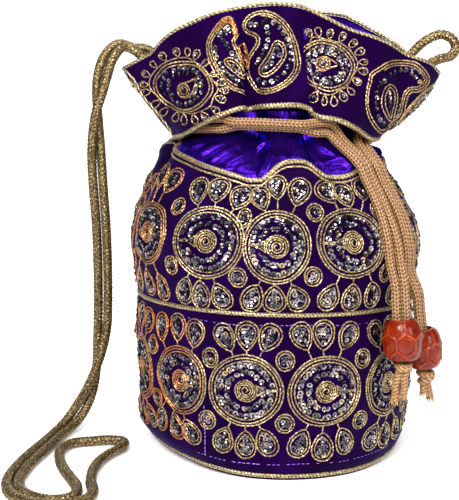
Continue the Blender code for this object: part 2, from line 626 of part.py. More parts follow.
# ---------------------------------------------------------------- build
def main():
    clear_scene()
    mats = {
        "velvet": material("violet_velvet", (0.028, 0.004, 0.085), 0.85),
        "satin": material("violet_satin", (0.085, 0.012, 0.50), 0.28),
        "board": material("grey_board", (0.42, 0.38, 0.32), 0.9),
        "zari": material("gold_zari", (0.62, 0.49, 0.26), 0.38, 0.85),
        "drawcord": material("peach_braid", (0.72, 0.45, 0.25), 0.62),
        "strap": material("gold_knit", (0.36, 0.26, 0.10), 0.45, 0.7),
        "bead": material("orange_bead", (0.62, 0.08, 0.012), 0.22),
    }
    bag = bpy.data.objects.new("bag", None)
    bpy.context.scene.collection.objects.link(bag)
    make_bag(bag, mats)
    drawcord(0, "drawcord_lower", mats["drawcord"], bag)
    drawcord(1, "drawcord_upper", mats["drawcord"], bag)
    bead("bead_front", RUN_FRONT, BEAD_FRONT_Z, mats["bead"], bag)
    bead("bead_rear", RUN_REAR, BEAD_REAR_Z, mats["bead"], bag)
    knot("knot_front", RUN_FRONT, BEAD_FRONT_Z, mats["drawcord"], bag, (4.9, 4.7, 2.9), [((-2.0, -0.21), 0.02, 17.5), ((1.5, -0.19), -0.05, 15.0)])
    knot("knot_rear", RUN_REAR, BEAD_REAR_Z, mats["drawcord"], bag, (4.9, 4.7, 3.6), [((-1.6, -0.12), 0.12, 10.0), ((1.1, 0.02), -0.03, 14.0)])
    tube("hand_loop", smooth_line(strap_points(), 11.4), STRAP_D / 2, mats["strap"], bag)
    tube("small_loop", smooth_line(small_loop_points(), 4.5), STRAP_D / 2, mats["strap"], bag)


main()
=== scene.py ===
import json
import math

import bpy
import numpy as np
from mathutils import Matrix, Vector

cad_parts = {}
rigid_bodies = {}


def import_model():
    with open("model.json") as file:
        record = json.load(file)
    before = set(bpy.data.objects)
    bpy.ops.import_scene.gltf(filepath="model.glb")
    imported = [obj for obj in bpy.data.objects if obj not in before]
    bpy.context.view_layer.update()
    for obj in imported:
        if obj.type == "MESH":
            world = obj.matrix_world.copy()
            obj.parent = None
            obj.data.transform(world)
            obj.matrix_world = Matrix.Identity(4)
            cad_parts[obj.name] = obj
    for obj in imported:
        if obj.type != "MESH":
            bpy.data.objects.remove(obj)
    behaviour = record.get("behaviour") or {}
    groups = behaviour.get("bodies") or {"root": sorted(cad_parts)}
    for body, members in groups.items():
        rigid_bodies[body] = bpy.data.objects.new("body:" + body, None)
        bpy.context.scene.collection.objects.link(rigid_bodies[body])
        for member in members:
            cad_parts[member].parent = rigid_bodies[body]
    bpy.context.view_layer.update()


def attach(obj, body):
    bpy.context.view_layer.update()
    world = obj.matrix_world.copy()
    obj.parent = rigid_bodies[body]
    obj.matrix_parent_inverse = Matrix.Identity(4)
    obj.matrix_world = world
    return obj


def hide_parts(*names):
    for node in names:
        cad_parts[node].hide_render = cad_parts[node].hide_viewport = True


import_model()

MM = 0.001

# ================================================================ the shape, in millimetres, as in the part's source
VELVET, SATIN, LINING, GAP = 1.3, 0.8, 0.6, 0.35
BASE_T, BOARD_T, PIPE_R, MID_SEAM_Z = 1.4, 2.0, 1.25, 80.4
CORD_D, STRAP_D, NECK_MID_Z, NECK_TILT, NECK_LIFT = 4.1, 5.0, 165.8, 1.6, 1.7
BEAD_D, BEAD_L, BEAD_BORE_R = 18.5, 19.5, 4.6

WALL = [
    (0.0, 67.6, 67.6, 67.6), (3.0, 69.4, 69.4, 69.4), (7.0, 70.7, 70.7, 70.7), (12.0, 71.3, 71.3, 71.3),
    (20.0, 71.7, 71.7, 71.7), (30.0, 72.2, 72.2, 72.2), (45.0, 72.8, 72.8, 72.8), (65.0, 73.2, 73.2, 73.2),
    (80.4, 73.0, 73.0, 73.0), (88.0, 73.9, 73.7, 73.8), (97.0, 75.6, 74.6, 75.1), (107.0, 76.6, 75.0, 75.7),
    (118.0, 75.2, 73.2, 74.0), (124.0, 73.8, 71.2, 71.8), (128.0, 72.4, 69.0, 69.8), (134.0, 70.6, 65.8, 66.8),
    (140.0, 68.9, 62.2, 63.6), (145.0, 67.0, 59.4, 60.6), (150.0, 64.6, 56.6, 56.4), (155.0, 60.6, 52.8, 51.6),
    (158.0, 56.2, 49.2, 48.2), (160.0, 52.4, 46.4, 46.0), (162.0, 48.6, 44.6, 44.4), (164.0, 46.4, 43.8, 43.6),
    (168.0, 45.6, 43.4, 43.2), (190.0, 45.8, 43.6, 43.0),
]
VALLEYS = [
    (-9.0, -16.5, -20.0, 8.0), (27.0, 18.5, 11.0, 9.0), (70.0, 66.0, 54.0, 8.5), (104.0, 106.0, 112.0, 8.5),
    (143.0, 143.0, 148.0, 9.0), (187.0, 186.0, 183.0, 8.5), (222.0, 223.0, 214.0, 9.0), (254.0, 255.0, 248.0, 8.5),
    (284.0, 288.0, 302.0, 8.5),
]
GATHER = [
    (0.0, 0.0), (112.0, 0.0), (124.0, 0.7), (134.0, 2.4), (142.0, 4.6), (150.0, 6.6), (158.0, 7.4), (165.0, 6.6),
    (178.0, 6.0), (190.0, 6.0),
]
SEAM = [
    (-86.0, 160.4), (-78.0, 160.6), (-70.0, 156.8), (-50.0, 151.6), (-34.6, 147.4), (-25.7, 145.2), (-18.0, 143.0), (-12.0, 141.2),
    (-7.5, 141.4), (-3.5, 144.6), (0.5, 148.4), (5.0, 150.2), (10.5, 150.5), (15.0, 149.4), (19.5, 145.8), (24.5, 143.4),
    (30.0, 143.3), (40.0, 146.1), (50.0, 150.0), (58.0, 151.6), (64.0, 150.4), (71.0, 146.6), (79.0, 149.6), (88.0, 152.6),
    (96.0, 151.4), (104.0, 146.8), (113.0, 149.0), (124.0, 151.8), (134.0, 148.6), (143.0, 143.6), (152.0, 147.0),
    (164.0, 150.8), (176.0, 148.0), (186.0, 142.8), (196.0, 146.6), (206.0, 149.6), (214.0, 147.2), (222.0, 143.4),
    (231.0, 148.2), (240.0, 152.0), (248.0, 150.6), (255.0, 148.2), (262.0, 152.6), (268.0, 157.4),
]
COLLAR_LOW = [
    (-90.0, 162.4, 54.6), (-78.0, 161.4, 54.8), (-64.0, 161.8, 54.6), (-51.0, 164.8, 54.0), (-36.0, 170.2, 53.4),
    (-22.0, 175.0, 51.6), (-14.0, 176.0, 50.2), (-4.0, 176.3, 50.0), (10.0, 176.6, 50.4), (17.0, 175.6, 50.8),
    (22.0, 172.6, 52.8), (29.0, 171.0, 54.2), (43.0, 166.0, 55.6), (58.0, 161.4, 55.2), (70.0, 162.2, 53.6),
    (84.0, 164.2, 52.4), (100.0, 163.2, 52.6), (120.0, 162.2, 53.4), (140.0, 166.4, 53.4), (160.0, 172.6, 51.8),
    (180.0, 175.2, 50.6), (200.0, 172.8, 51.8), (222.0, 166.0, 53.8), (246.0, 162.4, 54.6),
]
RIM_FRONT = [
    (-83.0, 197.0), (-73.0, 202.4), (-61.0, 209.4), (-47.0, 216.4), (-31.0, 222.4), (-16.0, 224.6), (-4.0, 225.6),
    (8.0, 225.0), (22.0, 219.8), (35.0, 214.0), (48.0, 210.6), (65.0, 205.4), (78.0, 200.8), (83.0, 197.0),
]
RIM_BACK = [
    (-83.0, 197.0), (-72.0, 204.0), (-56.0, 213.0), (-38.0, 222.0), (-20.0, 228.6), (0.0, 231.8), (20.0, 232.8),
    (36.0, 230.8), (52.0, 222.8), (69.0, 209.6), (78.0, 200.6), (83.0, 197.0),
]
RIM_HALF_WIDTH, RIM_DEPTH_FRONT, RIM_DEPTH_BACK = 83.0, 41.0, 36.0
COLLAR_SWELL_LEFT, COLLAR_SWELL_RIGHT = 0.06, 0.16


def table(rows, x, column=1, period=None):
    """A table's value at x (an array), on a smooth curve through its rows."""
    r = np.array(rows, float)
    x = np.asarray(x, float)
    if period:
        before, after = r[-3:].copy(), r[:3].copy()
        before[:, 0] -= period
        after[:, 0] += period
        first = r[0, 0]
        r = np.vstack([before, r, after])
        x = (x - first) % period + first
    xs, ys = r[:, 0], r[:, column]
    d = np.diff(ys) / np.diff(xs)
    m = np.zeros(len(xs))
    same = d[:-1] * d[1:] > 0
    m[1:-1][same] = 2 * d[:-1][same] * d[1:][same] / (d[:-1][same] + d[1:][same])
    x = np.clip(x, xs[0], xs[-1])
    i = np.clip(np.searchsorted(xs, x, side="right") - 1, 0, len(xs) - 2)
    h = xs[i + 1] - xs[i]
    t = (x - xs[i]) / h
    return ys[i] * (1 + 2 * t) * (1 - t) ** 2 + m[i] * h * t * (1 - t) ** 2 + ys[i + 1] * t * t * (3 - 2 * t) + m[i + 1] * h * t * t * (t - 1)


def step(low, high, x):
    t = np.clip((np.asarray(x, float) - low) / (high - low), 0.0, 1.0)
    return t * t * (3 - 2 * t)


def turn(a):
    return (np.asarray(a, float) + 180.0) % 360.0 - 180.0


def unit(v):
    return v / np.maximum(np.linalg.norm(v, axis=-1, keepdims=True), 1e-9)


def valley(a, level):
    level = np.asarray(level, float)
    found = 0.0
    for seam, neck, rim, width in VALLEYS:
        at = seam + (neck - seam) * np.minimum(level, 1.0) + (rim - neck) * np.maximum(level - 1.0, 0.0)
        d = np.abs(turn(a - at)) / (width * (1.0 + 0.25 * np.maximum(level - 1.0, 0.0)))
        found = np.maximum(found, np.exp(-(d ** 1.6)))
    return found


def crest_r(a, z):
    s, c = np.sin(np.radians(a)), np.cos(np.radians(a))
    half_x = np.where(s > 0, table(WALL, z, 2), table(WALL, z, 1))
    return 1.0 / np.sqrt((s / half_x) ** 2 + (c / table(WALL, z, 3)) ** 2)


def wall_r(a, z):
    return crest_r(a, z) - table(GATHER, z) * valley(a, np.clip((np.asarray(z, float) - 140.0) / 25.0, 0.0, 1.0))


def round_point(a, r, z):
    a, r, z = np.broadcast_arrays(np.asarray(a, float), np.asarray(r, float), np.asarray(z, float))
    return np.stack([r * np.sin(np.radians(a)), -r * np.cos(np.radians(a)), z], -1)


def seam_z(a):
    return table(SEAM, a, period=360.0)


def satin_top_z(a):
    return 174.5 - 4.0 * np.sin(np.radians(a)) ** 2


def collar_base(a, v):
    """The collar's outer face: v is 0 at its lower edge and 1 at its rim."""
    a, v = np.broadcast_arrays(np.asarray(a, float), np.asarray(v, float))
    z0 = table(COLLAR_LOW, a, 1, 360.0)
    r = table(COLLAR_LOW, a, 2, 360.0) - 2.6 * valley(a, 1.0) * step(170.5, 174.0, z0)
    s, c = np.sin(np.radians(a)), np.cos(np.radians(a))
    x1 = RIM_HALF_WIDTH * s
    y1 = -np.where(c > 0, RIM_DEPTH_FRONT, RIM_DEPTH_BACK) * c * (0.62 + 0.38 * np.abs(c))
    z1 = np.where(c > 0, table(RIM_FRONT, x1), table(RIM_BACK, x1))
    k = 1.0 - 0.035 * valley(a, 2.0)
    x1, y1 = x1 * k, y1 * k
    swell = COLLAR_SWELL_LEFT + (COLLAR_SWELL_RIGHT - COLLAR_SWELL_LEFT) * step(-0.3, 0.6, s)
    w = v + swell * np.sin(math.pi * v)
    x, y = r * s + (x1 - r * s) * w, -r * c + (y1 + r * c) * w
    deep = np.sin(math.pi * np.minimum(1.0, 0.80 * v + 0.12 * step(170.5, 174.0, z0)))
    fold = 3.6 * valley(a, 1.0 + v) * np.maximum(deep, 0.0) ** 0.8
    k = 1 - fold / np.hypot(x, y)
    return np.stack([x * k, y * k, z0 + (z1 - z0) * v], -1)


rng = np.random.default_rng(7)


def waves(seed, low, high, count=10):
    """A smooth, repeatable unevenness in space, about -1 to 1, whose ripples are low to high millimetres long."""
    g = np.random.default_rng(seed)
    k = unit(g.normal(size=(count, 3))) * (2 * math.pi / g.uniform(low, high, count))[:, None]
    phase = g.uniform(0, 2 * math.pi, count)

    def at(p):
        return np.sin(p @ k.T + phase).sum(-1) * (1.4 / math.sqrt(count))
    return at


soft_long, soft_short, soft_fine = waves(1, 22, 40), waves(2, 9, 16), waves(3, 4, 7)


# How far the wall's foot is rounded under and how high its edge stands, against the angle
FOOT = [(-150.0, 1.0, 0.2), (-120.0, 3.0, 1.6), (-90.0, 6.4, 3.8), (-62.0, 7.4, 4.6), (-42.0, 6.2, 3.6), (-24.0, 3.0, 1.4), (-8.0, 0.8, 0.2), (10.0, 0.2, 0.0), (32.0, 0.5, 0.0), (52.0, 2.0, 0.8), (75.0, 3.4, 1.8), (110.0, 2.0, 0.8), (160.0, 0.8, 0.0)]


def shoulder(a, z):
    """The cloth that bunches up beside the neck at the left."""
    return 5.2 * np.exp(-((turn(a) + 80.0) / 15.0) ** 2) * step(150.0, 158.0, z) * (1.0 - step(162.5, 166.5, z))


def velvet_wall(a, z):
    """The velvet's outer face: the plain wall with the fabric's own unevenness."""
    a, z = np.broadcast_arrays(np.asarray(a, float), np.asarray(z, float))
    r = wall_r(a, z)
    p = round_point(a, r, z)
    d = 0.42 * soft_long(p) + 0.20 * soft_short(p)
    top = seam_z(a)
    near = np.exp(-((z - MID_SEAM_Z) / 2.6) ** 2) + np.exp(-((z - top) / 2.6) ** 2)
    d = d * (1.0 - 0.8 * np.clip(near, 0, 1)) - 0.35 * np.exp(-((z - MID_SEAM_Z) / 1.9) ** 2)
    d = d + 0.30 * np.exp(-((z - 74.6) / 0.9) ** 2) + 0.30 * np.exp(-((z - 9.4) / 0.8) ** 2)
    foot = table(FOOT, a, 1, 360.0) * (1.0 - np.sqrt(np.clip(1.0 - (np.clip(15.0 - z, 0, 15.0) / 15.6) ** 2, 0, 1)))
    d = d * step(3.0, 12.0, z) - foot + shoulder(a, z)
    lift = table(FOOT, a, 2, 360.0) * np.clip(1.0 - z / 34.0, 0, 1) ** 2
    return round_point(a, r + d, z + lift)


# Folds of the satin, one line each: from (angle, height) to (angle, height), half width and height in mm
SATIN_FOLDS = [
    (-57, 151, -36, 165, 2.2, 1.3), (-47, 149, -27, 163.5, 2.6, 1.9), (-37, 146.5, -24, 158, 1.6, 1.2),
    (-27.5, 144.5, -9.0, 160.5, 2.1, 2.3), (-8.2, 143.5, -3.6, 158.5, 1.7, 2.0), (-21, 142.5, -9.5, 142.8, 1.8, 1.4),
    (-34, 162, -20, 170, 1.5, 0.8), (-16, 156, -20, 164, 1.3, 1.0),
    (22.5, 162.5, 39.5, 147.0, 1.7, 1.9), (23.0, 149.8, 33.5, 152.2, 1.3, 1.2), (26, 145.0, 41, 146.8, 1.7, 1.3),
    (20.5, 156, 26, 146, 1.2, 0.9), (34, 160, 47, 152, 1.5, 1.2), (48, 163, 55, 153, 1.5, 1.2),
]
for i in range(46):
    a0 = 62.0 + i * 5.3 + rng.uniform(-1.6, 1.6)
    lean = rng.uniform(-13, 13)
    z0 = float(seam_z(a0)) + rng.uniform(0.0, 3.0)
    SATIN_FOLDS.append((a0, z0, a0 + lean, rng.uniform(157, 164), rng.uniform(1.2, 2.4), rng.uniform(0.7, 1.8)))


def satin_wall(a, z):
    a, z = np.broadcast_arrays(np.asarray(a, float), np.asarray(z, float))
    r = wall_r(a, z)
    p = round_point(a, r, z)
    d = 0.18 * soft_short(p) + 0.07 * soft_fine(p)
    for a0, z0, a1, z1, w, h in SATIN_FOLDS:
        mid = math.radians(1.0) * 53.0
        dx, dz = float(turn(a1 - a0)) * mid, z1 - z0
        long = math.hypot(dx, dz)
        x, y = turn(a - a0) * mid, z - z0
        t = (x * dx + y * dz) / long
        across = (x * dz - y * dx) / long
        beyond = np.maximum(np.maximum(-t, t - long), 0.0)
        sharp = np.where(across > 0, across / (w * 0.75), across / (w * 1.35))
        d = d + 1.3 * h * np.exp(-np.abs(sharp) ** 1.7) * np.exp(-(beyond / (1.6 * w)) ** 2)
    # the flat pleat at the middle of the front
    flat = step(7.0, 8.2, a) * (1.0 - step(15.8, 17.0, a))
    d = d + (2.1 + 0.20 * (a - 11.8)) * flat * step(float(seam_z(11.0)) - 1.0, float(seam_z(11.0)) + 6.0, z)
    d = d - 1.2 * np.exp(-((a - 5.3) / 1.8) ** 2) - 1.0 * np.exp(-((a - 19.0) / 1.8) ** 2)
    # held flat in the seam and under the cords
    hold = step(0.0, 4.0, z - seam_z(a) - 1.0)
    cords = np.exp(-((z - NECK_MID_Z) / 5.6) ** 4)
    d = d * hold * (1.0 - 0.92 * cords) - 0.5 * cords + shoulder(a, z)
    return round_point(a, r + d, z)


# The collar's two sharp creases, where one lobe laps over the next: (share of the height, angle)
CREASE_LEFT = [(0.0, -19.2), (0.2, -18.4), (0.45, -17.2), (0.7, -17.0), (1.0, -18.0)]
CREASE_RIGHT = [(0.0, 19.4), (0.10, 16.9), (0.185, 14.8), (0.40, 11.6), (0.655, 9.0), (0.85, 8.0), (1.0, 8.0)]


def collar_outer(a, v):
    a, v = np.broadcast_arrays(np.asarray(a, float), np.asarray(v, float))
    p = collar_base(a, v)
    d = 0.55 * soft_long(p) + 0.22 * soft_short(p)
    t = turn(a)
    right = table(CREASE_RIGHT, v)
    s = (1.0 - step(0.62, 0.92, v)) * 1.0
    off = t - right
    d = d + s * np.where(off < 0, 1.5 * np.exp(-(off / 5.0) ** 2), -2.4 * np.exp(-np.abs(off / 5.5)) + 0.0)
    left = table(CREASE_LEFT, v)
    s = (1.0 - step(0.60, 0.95, v))
    off = t - left
    d = d + s * np.where(off < 0, 1.1 * np.exp(-(off / 6.0) ** 2) - 0.0, -1.6 * np.exp(-np.abs(off / 4.0)))
    d = d - s * 1.3 * np.exp(-((off - 0.8) / 1.3) ** 2)
    d = d * (0.35 + 0.65 * step(0.0, 0.10, v)) * (1.0 - 0.7 * step(0.93, 1.0, v))
    e = 0.6
    along = collar_base(a + e, v) - collar_base(a - e, v)
    up = collar_base(a, v + 0.012) - collar_base(a, v - 0.012)
    return p + unit(np.cross(along, up)) * d[..., None]


def facing_outer(a, v):
    """The satin inside the collar, its face towards the velvet."""
    a, v = np.broadcast_arrays(np.asarray(a, float), np.asarray(v, float))
    z0 = satin_top_z(a) + GAP
    low = round_point(a, wall_r(a, z0) - 0.1, z0)

    def inset(share, depth):
        along = collar_base(a + 1.0, share) - collar_base(a - 1.0, share)
        up = collar_base(a, share + 0.01) - collar_base(a, share - 0.01)
        return collar_base(a, share) - unit(np.cross(along, up)) * depth
    mid, high = inset(0.62, VELVET + GAP + 0.8), inset(0.97, VELVET + GAP + 0.35)
    t = np.clip(v, 0, 1)[..., None]
    p = np.where(t <= 0.6, low + (mid - low) * (t / 0.6), mid + (high - mid) * ((t - 0.6) / 0.4))
    amount = np.sin(math.pi * np.clip(v, 0, 1)) ** 0.7
    inward = unit(np.stack([-p[..., 0], -p[..., 1], np.zeros_like(p[..., 0])], -1))
    ruck = 0.8 * soft_short(p) + 1.3 * np.abs(soft_long(p * np.array([1.6, 1.6, 0.35]))) + 0.4 * soft_fine(p)
    return p + inward * (np.maximum(ruck, -0.1) * amount)[..., None]


class Patch:
    """A surface kept as a fine grid, closed round the bag, and read anywhere on it."""

    def __init__(self, surface, low, high, rows, columns=720):
        self.low, self.high, self.rows, self.columns = low, high, rows, columns
        a = np.linspace(-180.0, 180.0, columns + 1)
        b = np.linspace(low, high, rows)
        self.p = surface(a[None, :], b[:, None])
        wrapped = np.concatenate([self.p[:, -2:-1], self.p, self.p[:, 1:2]], 1)
        along = wrapped[:, 2:] - wrapped[:, :-2]
        up = np.gradient(self.p, axis=0)
        self.n = unit(np.cross(along, up))

    def at(self, a, b):
        a, b = np.broadcast_arrays(np.asarray(a, float), np.asarray(b, float))
        x = (turn(a) + 180.0) / 360.0 * self.columns
        y = np.clip((b - self.low) / (self.high - self.low), 0, 1) * (self.rows - 1)
        i = np.clip(x.astype(int), 0, self.columns - 1)
        j = np.clip(y.astype(int), 0, self.rows - 2)
        fx, fy = (x - i)[..., None], (y - j)[..., None]

        def mix(g):
            return g[j, i] * (1 - fx) * (1 - fy) + g[j, i + 1] * fx * (1 - fy) + g[j + 1, i] * (1 - fx) * fy + g[j + 1, i + 1] * fx * fy
        return mix(self.p), unit(mix(self.n))


velvet = Patch(velvet_wall, 0.0, 162.0, 325)
satin = Patch(satin_wall, 138.0, 178.0, 161)
collar = Patch(collar_outer, -0.06, 1.04, 111)

# ================================================================ materials


def srgb(r, g, b):
    def lin(c):
        c /= 255.0
        return c / 12.92 if c <= 0.04045 else ((c + 0.055) / 1.055) ** 2.4
    return (lin(r), lin(g), lin(b), 1.0)


class Finish:
    """A procedural material under construction."""

    def __init__(self, name, **sockets):
        self.mat = bpy.data.materials.new(name)
        self.mat.use_nodes = True
        self.nodes, self.links = self.mat.node_tree.nodes, self.mat.node_tree.links
        self.shader = self.nodes["Principled BSDF"]
        for key, value in sockets.items():
            self.shader.inputs[key.replace("_", " ")].default_value = value
        self.place = self.nodes.new("ShaderNodeTexCoord")

    def link(self, a, b):
        self.links.new(a, b)

    def noise(self, size_mm, detail=2.0, rough=0.5, stretch=None, distortion=0.0):
        """Noise whose lumps are about size_mm across."""
        made = self.nodes.new("ShaderNodeTexNoise")
        made.inputs["Scale"].default_value = 1000.0 / (2.0 * size_mm)
        made.inputs["Detail"].default_value = detail
        made.inputs["Roughness"].default_value = rough
        made.inputs["Distortion"].default_value = distortion
        source = self.place.outputs["Object"]
        if stretch:
            m = self.nodes.new("ShaderNodeMapping")
            m.inputs["Scale"].default_value = stretch
            self.link(source, m.inputs["Vector"])
            source = m.outputs["Vector"]
        self.link(source, made.inputs["Vector"])
        return made.outputs["Fac"]

    def cells(self, size_mm, what="Distance"):
        made = self.nodes.new("ShaderNodeTexVoronoi")
        made.inputs["Scale"].default_value = 1000.0 / size_mm
        self.link(self.place.outputs["Object"], made.inputs["Vector"])
        return made.outputs[what]

    def attribute(self, name):
        made = self.nodes.new("ShaderNodeAttribute")
        made.attribute_name = name
        return made.outputs["Fac"]

    def ramp(self, source, stops, interpolation="LINEAR"):
        made = self.nodes.new("ShaderNodeValToRGB")
        ramp = made.color_ramp
        ramp.interpolation = interpolation
        while len(ramp.elements) < len(stops):
            ramp.elements.new(0.5)
        for element, (at, colour) in zip(ramp.elements, stops):
            element.position = at
            element.color = colour
        self.link(source, made.inputs["Fac"])
        return made.outputs["Color"]

    def mix(self, share, a, b, kind="MIX"):
        made = self.nodes.new("ShaderNodeMix")
        made.data_type = "RGBA"
        made.blend_type = kind
        if isinstance(share, (int, float)):
            made.inputs[0].default_value = share
        else:
            self.link(share, made.inputs[0])
        for socket, value in ((made.inputs[6], a), (made.inputs[7], b)):
            if isinstance(value, tuple):
                socket.default_value = value
            else:
                self.link(value, socket)
        return made.outputs[2]

    def maths(self, kind, a, b=0.0, clamp=False):
        made = self.nodes.new("ShaderNodeMath")
        made.operation = kind
        made.use_clamp = clamp
        for socket, value in ((made.inputs[0], a), (made.inputs[1], b)):
            if isinstance(value, (int, float)):
                socket.default_value = value
            else:
                self.link(value, socket)
        return made.outputs[0]

    def span(self, source, low, high):
        """The value brought from 0..1 to low..high."""
        made = self.nodes.new("ShaderNodeMapRange")
        made.inputs["To Min"].default_value = low
        made.inputs["To Max"].default_value = high
        self.link(source, made.inputs["Value"])
        return made.outputs["Result"]

    def bump(self, source, height_mm, after=None):
        made = self.nodes.new("ShaderNodeBump")
        made.inputs["Strength"].default_value = 1.0
        made.inputs["Distance"].default_value = height_mm * MM
        self.link(source, made.inputs["Height"])
        if after is not None:
            self.link(after, made.inputs["Normal"])
        return made.outputs["Normal"]

    def set(self, socket, source):
        self.link(source, self.shader.inputs[socket])


def velvet_finish():
    f = Finish("velvet_pile", Roughness=0.78, Sheen_Weight=0.15, Sheen_Roughness=0.35, Specular_IOR_Level=0.10)
    f.shader.inputs["Sheen Tint"].default_value = srgb(96, 24, 215)
    f.shader.inputs["Specular Tint"].default_value = srgb(120, 60, 220)
    patches = f.noise(9.0, 3.0, 0.55, stretch=(1.0, 1.0, 0.6))
    pile = f.noise(0.35, 2.0, 0.6)
    colour = f.ramp(patches, [(0.30, srgb(13, 1, 26)), (0.52, srgb(20, 1, 40)), (0.75, srgb(31, 2, 66))])
    colour = f.mix(f.span(pile, 0.0, 0.55), colour, srgb(12, 0, 30))
    f.set("Base Color", colour)
    f.set("Roughness", f.span(patches, 0.66, 0.88))
    f.set("Normal", f.bump(pile, 0.22, f.bump(f.noise(3.0, 2.0), 0.25)))
    return f.mat


def satin_finish():
    f = Finish("satin_weave", Roughness=0.23, Metallic=0.88, Specular_IOR_Level=0.5, Anisotropic=0.30)
    f.shader.inputs["Specular Tint"].default_value = srgb(120, 80, 255)
    tone = f.noise(6.0, 2.0, 0.5)
    yarn = f.noise(0.22, 2.0, 0.55, stretch=(1.0, 1.0, 0.35))
    f.set("Base Color", f.mix(f.span(yarn, 0.0, 0.28), f.ramp(tone, [(0.3, srgb(40, 8, 116)), (0.7, srgb(72, 24, 172))]), srgb(13, 0, 46)))
    f.set("Roughness", f.span(tone, 0.20, 0.31))
    f.set("Normal", f.bump(yarn, 0.09, f.bump(f.noise(3.0, 2.0, 0.5), 0.12)))
    return f.mat


def zari_finish(name="zari_thread", gold=(150, 124, 78), painted_glint=(216, 198, 154), copper=(180, 96, 40), painted_gap_shade=(44, 30, 20)):
    """Metallic thread wound round a core. The pieces' tone attribute is 0 for gold and 1 for copper. Its colour is
    darkened in the gaps between the turns and made pale in specks: painted shade and painted glints.
    """
    f = Finish(name, Roughness=0.34, Metallic=0.82, Specular_IOR_Level=0.6)
    turns = f.noise(0.36, 2.0, 0.65)
    patch = f.noise(2.2, 2.0, 0.5)
    # along the turns the darkest stops paint shade in the gaps between the wraps and the palest paint glints, in gold
    # and in copper alike
    colour = f.ramp(turns, [(0.38, srgb(*painted_gap_shade)), (0.48, srgb(*gold)), (0.60, srgb(*painted_glint))])
    warm = f.ramp(turns, [(0.37, srgb(84, 36, 14)), (0.48, srgb(*copper)), (0.62, srgb(236, 170, 100))])
    colour = f.mix(f.attribute("tone"), colour, warm)
    colour = f.mix(f.span(patch, 0.0, 0.22), colour, srgb(140, 104, 60))
    f.set("Base Color", f.mix(f.maths("MULTIPLY", f.attribute("tone"), -1.0, True), colour, srgb(150, 112, 214)))
    f.set("Roughness", f.span(turns, 0.44, 0.26))
    f.set("Normal", f.bump(turns, 0.16))
    return f.mat


def sequin_finish():
    f = Finish("sequin_foil", Roughness=0.16, Metallic=0.95, Specular_IOR_Level=0.7, Coat_Weight=0.4, Coat_Roughness=0.08)
    f.set("Base Color", f.ramp(f.attribute("tone"), [(0.0, srgb(50, 47, 55)), (0.45, srgb(98, 93, 98)), (0.8, srgb(148, 140, 140)), (1.0, srgb(164, 138, 98))]))
    f.set("Normal", f.bump(f.noise(0.5, 1.0), 0.08))
    return f.mat


def piping_finish():
    f = Finish("piping_cord", Roughness=0.38, Metallic=0.7, Specular_IOR_Level=0.5)
    groove_shade = f.attribute("groove_shade")
    fleck = f.noise(0.35, 2.0, 0.65)
    # the palest flecks are painted glints on the twisted metal thread
    lit = f.ramp(fleck, [(0.32, srgb(92, 70, 50)), (0.48, srgb(164, 138, 96)), (0.60, srgb(240, 222, 176))])
    # the colour is darkened between the plies: painted shade
    f.set("Base Color", f.mix(groove_shade, srgb(50, 34, 34), lit))
    f.set("Roughness", f.span(fleck, 0.50, 0.30))
    f.set("Normal", f.bump(fleck, 0.18))
    return f.mat


def braid_finish():
    f = Finish("braided_rayon", Roughness=0.46, Specular_IOR_Level=0.45, Sheen_Weight=0.12, Sheen_Roughness=0.4)
    f.shader.inputs["Sheen Tint"].default_value = srgb(255, 220, 180)
    groove_shade = f.attribute("groove_shade")
    fibre = f.noise(0.25, 2.0, 0.6)
    lit = f.ramp(fibre, [(0.3, srgb(148, 102, 60)), (0.52, srgb(190, 142, 90)), (0.72, srgb(232, 196, 140))])
    # the colour is darkened between the stitches: painted shade
    f.set("Base Color", f.mix(f.maths("POWER", groove_shade, 1.15), srgb(62, 28, 14), lit))
    f.set("Roughness", f.span(fibre, 0.60, 0.42))
    f.set("Normal", f.bump(fibre, 0.12))
    return f.mat


def knit_finish():
    f = Finish("knitted_lurex", Roughness=0.40, Metallic=0.6, Specular_IOR_Level=0.55)
    groove_shade = f.attribute("groove_shade")
    fleck = f.noise(0.42, 3.0, 0.7)
    # the palest flecks are painted glints on the metal yarn
    lit = f.ramp(fleck, [(0.38, srgb(46, 31, 12)), (0.48, srgb(100, 74, 32)), (0.56, srgb(166, 136, 76)), (0.65, srgb(250, 234, 184))])
    # the colour is darkened between the stitches: painted shade
    f.set("Base Color", f.mix(groove_shade, srgb(26, 17, 8), lit))
    f.set("Roughness", f.span(fleck, 0.50, 0.28))
    f.set("Normal", f.bump(fleck, 0.30))
    return f.mat


def bead_finish():
    f = Finish("moulded_bead", Roughness=0.30, Specular_IOR_Level=0.18, Coat_Weight=0.14, Coat_Roughness=0.06, Subsurface_Weight=0.03)
    f.shader.inputs["Subsurface Scale"].default_value = 0.001
    f.shader.inputs["Subsurface Radius"].default_value = (1.0, 0.35, 0.15)
    groove_shade = f.attribute("groove_shade")
    cloud = f.noise(2.4, 2.0, 0.5)
    body = f.ramp(cloud, [(0.3, srgb(106, 18, 1)), (0.6, srgb(140, 38, 4)), (0.8, srgb(174, 72, 12))])
    # the colour is darkened in the carved grooves, the etched squares and the bore: painted shade
    f.set("Base Color", f.mix(groove_shade, srgb(58, 6, 2), body))
    f.set("Roughness", f.span(cloud, 0.17, 0.27))
    f.set("Normal", f.bump(f.noise(0.6, 2.0), 0.05))
    return f.mat


def board_finish():
    f = Finish("pressed_board", Roughness=0.9)
    fibre = f.noise(0.8, 3.0, 0.7)
    f.set("Base Color", f.ramp(fibre, [(0.3, srgb(150, 140, 124)), (0.7, srgb(190, 180, 164))]))
    f.set("Normal", f.bump(fibre, 0.15))
    return f.mat


